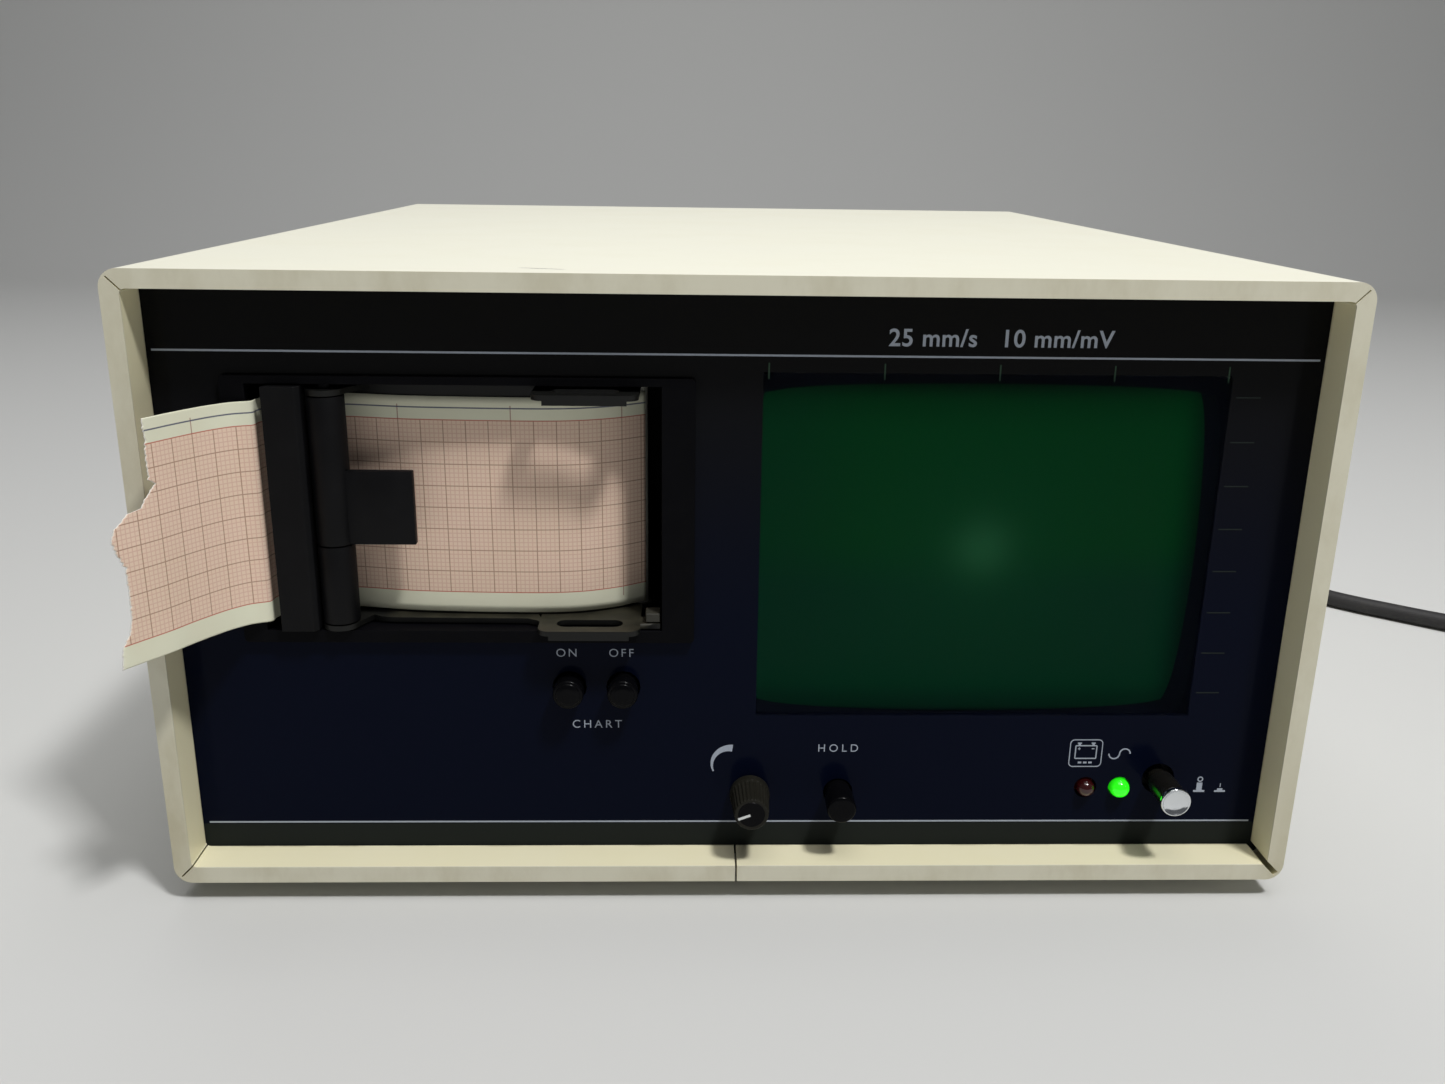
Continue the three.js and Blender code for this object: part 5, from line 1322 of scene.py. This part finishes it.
def makeFrontLamps():
    collar, flange = controls["lampCollar"], controls["lampFlange"]
    for name, lamp in frontLamps.items():
        tip, radius = lamp["tip"], lamp["radius"]
        dome = [(radius * math.sin(k * math.pi / 16), tip + radius * (1 - math.cos(k * math.pi / 16)))
                for k in range(9)]
        profile = [*dome, (radius, -128.6), (collar, -128.4), (collar, -127.852), (flange, -127.852)]
        profile += [(flange, -127.6), (collar, -127.6), (collar, -122.652), (0, -122.652)]
        lens = {"red_lens": redLens, "green_lens": greenLens}[lamp["slot"]]
        turned(name, profile, (lamp["x"], 0, controls["lampZ"]), lens, "root", (lamp["node"],),
               steps=32)


makeButtons()
makeFrontLamps()

knob = {
    "tip": -142.252,
    "back": -131.752,
    "shaftEnd": -118.852,
    "ribs": 28,
    "ribDepth": 0.22,
    "pointer": 201.3,
}


def makeKnob():
    k = knob
    x, z = controls["knobPlace"]
    tip, back = k["tip"], k["back"]
    profile = [(0, tip + 0.12), (3.2, tip + 0.1), (3.4, tip), (3.7, tip), (3.95, tip + 0.2), (4.12, tip + 1)]
    profile += [(4.3, tip + 4), (4.5, back - 3), (4.72, back - 2), (4.75, back), (3, back)]
    profile += [(3, k["shaftEnd"]), (0, k["shaftEnd"])]
    shape = bmesh.new()
    swept = spinProfile(shape, filleted(profile, 0.2, 3), (0, 0, 0), "y", k["ribs"] * 8)
    for vert in swept:
        reach = math.hypot(vert.co.x, vert.co.z)
        if tip + 0.15 < vert.co.y < back - 2.3 and reach > 3.9:
            angle = math.atan2(vert.co.z, vert.co.x)
            wave = 0.5 + 0.5 * math.cos(k["ribs"] * angle)
            vert.co.x *= 1 - k["ribDepth"] * (1 - wave) / reach
            vert.co.z *= 1 - k["ribDepth"] * (1 - wave) / reach
    bmesh.ops.translate(shape, verts=shape.verts, vec=(x, 0, z))
    finishPiece("sizeKnob", shape, knobMoulding, "knob", ("size_knob",))
    plate = [(0, tip + 0.03), (3.05, tip + 0.05), (3.15, tip + 0.16), (0, tip + 0.2)]
    turned("knobPlate", plate, (x, 0, z), glossMoulding, "knob", ())
    mark = bmesh.new()
    addBlock(mark, (0.3, tip - 0.01, -0.3), (3.3, tip + 0.15, 0.3))
    turn = Matrix.Rotation(-math.radians(k["pointer"]), 3, "Y")
    bmesh.ops.rotate(mark, verts=mark.verts, cent=(0, 0, 0), matrix=turn)
    bmesh.ops.translate(mark, verts=mark.verts, vec=(x, 0, z))
    finishPiece("knobPointer", mark, makeInk("pointerInk", shade(226, 228, 226)), "knob")


makeKnob()

# Print on the fascia; words are (text, height, x, z, spacing, weight)
prints = {
    "words": [
        ("25 mm/s   10 mm/mV", 3.6, 55.2, 129.6, 1.06, 0.08),
        ("ON", 1.95, -39.3, 57.75, 1.3, -0.015),
        ("OFF", 1.95, -26.8, 57.75, 1.3, -0.015),
        ("CHART", 1.95, -32.6, 39.9, 1.4, -0.015),
        ("HOLD", 1.9, 24, 33.7, 1.5, -0.015),
    ],
    "topTicks": (5.5, 30.5, 55.5, 80.5, 105.5),
    "sideTicks": 8,
    "sideTickTop": 119,
    "sideTickStep": 10,
}


def makePrint():
    shape = bmesh.new()
    inkBar(shape, -125, 125, 127.08, 127.5)
    inkBar(shape, -124.6, 124.8, 15.1, 15.48)
    for word in prints["words"]:
        inkText(shape, *word)
    # battery sign: a frame round a cell with its two terminals and poles, and three charge bars below
    inkFrame(shape, 79.2, 87.1, 29.7, 36.9, 1.1, 0.22)
    inkFrame(shape, 80.5, 85.8, 31.8, 35.4, 0.3, 0.27)
    for x in (81.5, 84.8):
        inkBar(shape, x - 0.28, x + 0.28, 35.4, 35.8)
        inkBar(shape, x - 0.48, x + 0.48, 35.8, 36.08)
        inkBar(shape, x - 0.32, x + 0.32, 34.37, 34.57)
    inkBar(shape, 81.4, 81.6, 34.15, 34.79)
    for x in (81.9, 83.15, 84.4):
        inkBar(shape, x - 0.42, x + 0.42, 30.62, 31.08)
    # mains sign: one wave
    inkRibbon(shape, (90.02, 33.15), 1.11, 1.43, 180, 180, 16)
    inkRibbon(shape, (92.56, 33.15), 1.11, 1.43, 0, 180, 16)
    # power button's signs: standing out, a ring over a tall block; pressed in, a low block under a line
    inkRibbon(shape, (111.6, 26.4), 0.42, 0.7, 0, 360, 20)
    for sides in (
        (110.9, 112.25, 23.5, 25.5), (110.25, 112.95, 23.0, 23.5), (115.35, 118.0, 23.0, 23.45),
        (116.0, 117.3, 23.45, 23.95), (116.55, 116.75, 24.3, 25.3),
    ):
        inkBar(shape, *sides)
    # swell mark beside the knob, from narrow to wide
    inkSwell(shape, (-1.5, 30.4), 4.25, 205, 82, 0.3, 1.75)
    finishPiece("frontPrint", shape, paleInk, "root")


def makeTicks():
    ticks = bmesh.new()
    for x in prints["topTicks"]:
        inkBar(ticks, x - 0.15, x + 0.15, 122.2, 125.7)
    finishPiece("screenTicks", ticks, greenInk, "root")
    marks = bmesh.new()
    for step in range(prints["sideTicks"]):
        z = prints["sideTickTop"] - prints["sideTickStep"] * step
        inkBar(marks, 107.7, 113.1, z - 0.13, z + 0.13)
    finishPiece("sideTicks", marks, dimInk, "root")


makePrint()
makeTicks()
print("front controls and print made")


# Solids that keep their own shape take a finish only
plainFinishes = {
    "front_panel": blackMoulding, "main_board": boardGreen, "sweep_board": boardGreen,
    "hinge_pin": blackedSteel, "platen_gear": paleNylon, "motor_pinion": bareSteel,
    "roll_spindle": blackMoulding, "deflection_yoke": windingYellow,
    "tube_base_board": boardGreen, "mains_transformer": bareSteel, "battery_pack": batteryBlue,
    "battery_strap": bareAlloy, "run_switch": blackMoulding, "stop_switch": blackMoulding,
    "hold_switch": blackMoulding, "power_switch": blackMoulding, "size_control": bareAlloy,
}
for node, finish in plainFinishes.items():
    mesh = solids[node].data
    mesh.materials.clear()
    mesh.materials.append(finish)


# Stage: a pale floor that turns up into a backdrop
stage = {
    "floor": shade(202, 202, 200),
    "wallY": 1700,
    "bend": 500,
    "half": 6000,
    "front": -4000,
    "high": 4000,
    "sky": shade(216, 219, 224),
    "skyLight": 0.14,
}
# Lamps: a large soft one above, a smaller one in front at the right, and a weak one behind
lamps = {
    "overhead": {"place": (0.05, -0.3, 1.6), "aim": (0, -0.1, 0.1), "side": 1.1, "power": 10.5},
    "frontRight": {"place": (0.45, -0.68, 1.42), "aim": (0, -0.1, 0.1), "side": 0.17, "power": 16},
    "backFill": {"place": (-0.3, 0.9, 1.5), "aim": (0, 0, 0.1), "side": 1.2, "power": 4},
}


def makeStage():
    s = stage
    shape = bmesh.new()
    profile = [(s["front"], 0), (s["wallY"] - s["bend"], 0)]
    for step in range(1, 13):
        angle = step * math.pi / 24
        y = s["wallY"] - s["bend"] + s["bend"] * math.sin(angle)
        profile.append((y, s["bend"] * (1 - math.cos(angle))))
    profile.append((s["wallY"], s["high"]))
    verts = [shape.verts.new((-s["half"], y, z)) for y, z in profile]
    edges = [shape.edges.new(pair) for pair in zip(verts, verts[1:])]
    grown = bmesh.ops.extrude_edge_only(shape, edges=edges)
    moved = [item for item in grown["geom"] if isinstance(item, bmesh.types.BMVert)]
    bmesh.ops.translate(shape, verts=moved, vec=(2 * s["half"], 0, 0))
    bmesh.ops.recalc_face_normals(shape, faces=shape.faces)
    paint = Finish("stageFloor", s["floor"], 0.9, Specular_IOR_Level=0.1)
    addedMesh("sweep", shape, paint.material)


def makeLamps():
    for name, lamp in lamps.items():
        data = bpy.data.lights.new(name, "AREA")
        data.shape = "SQUARE"
        data.size = lamp["side"]
        data.energy = lamp["power"]
        thing = added(name, data)
        thing.location = lamp["place"]
        aim = Vector(lamp["aim"]) - Vector(lamp["place"])
        thing.rotation_euler = aim.to_track_quat("-Z", "Y").to_euler()


def makeWorld():
    world = bpy.data.worlds.new("studio")
    world.use_nodes = True
    background = world.node_tree.nodes["Background"]
    background.inputs["Color"].default_value = (*stage["sky"], 1)
    background.inputs["Strength"].default_value = stage["skyLight"]
    bpy.context.scene.world = world


makeStage()
makeWorld()
makeLamps()
bpy.context.scene.view_settings.view_transform = "Standard"
print("stage lit")
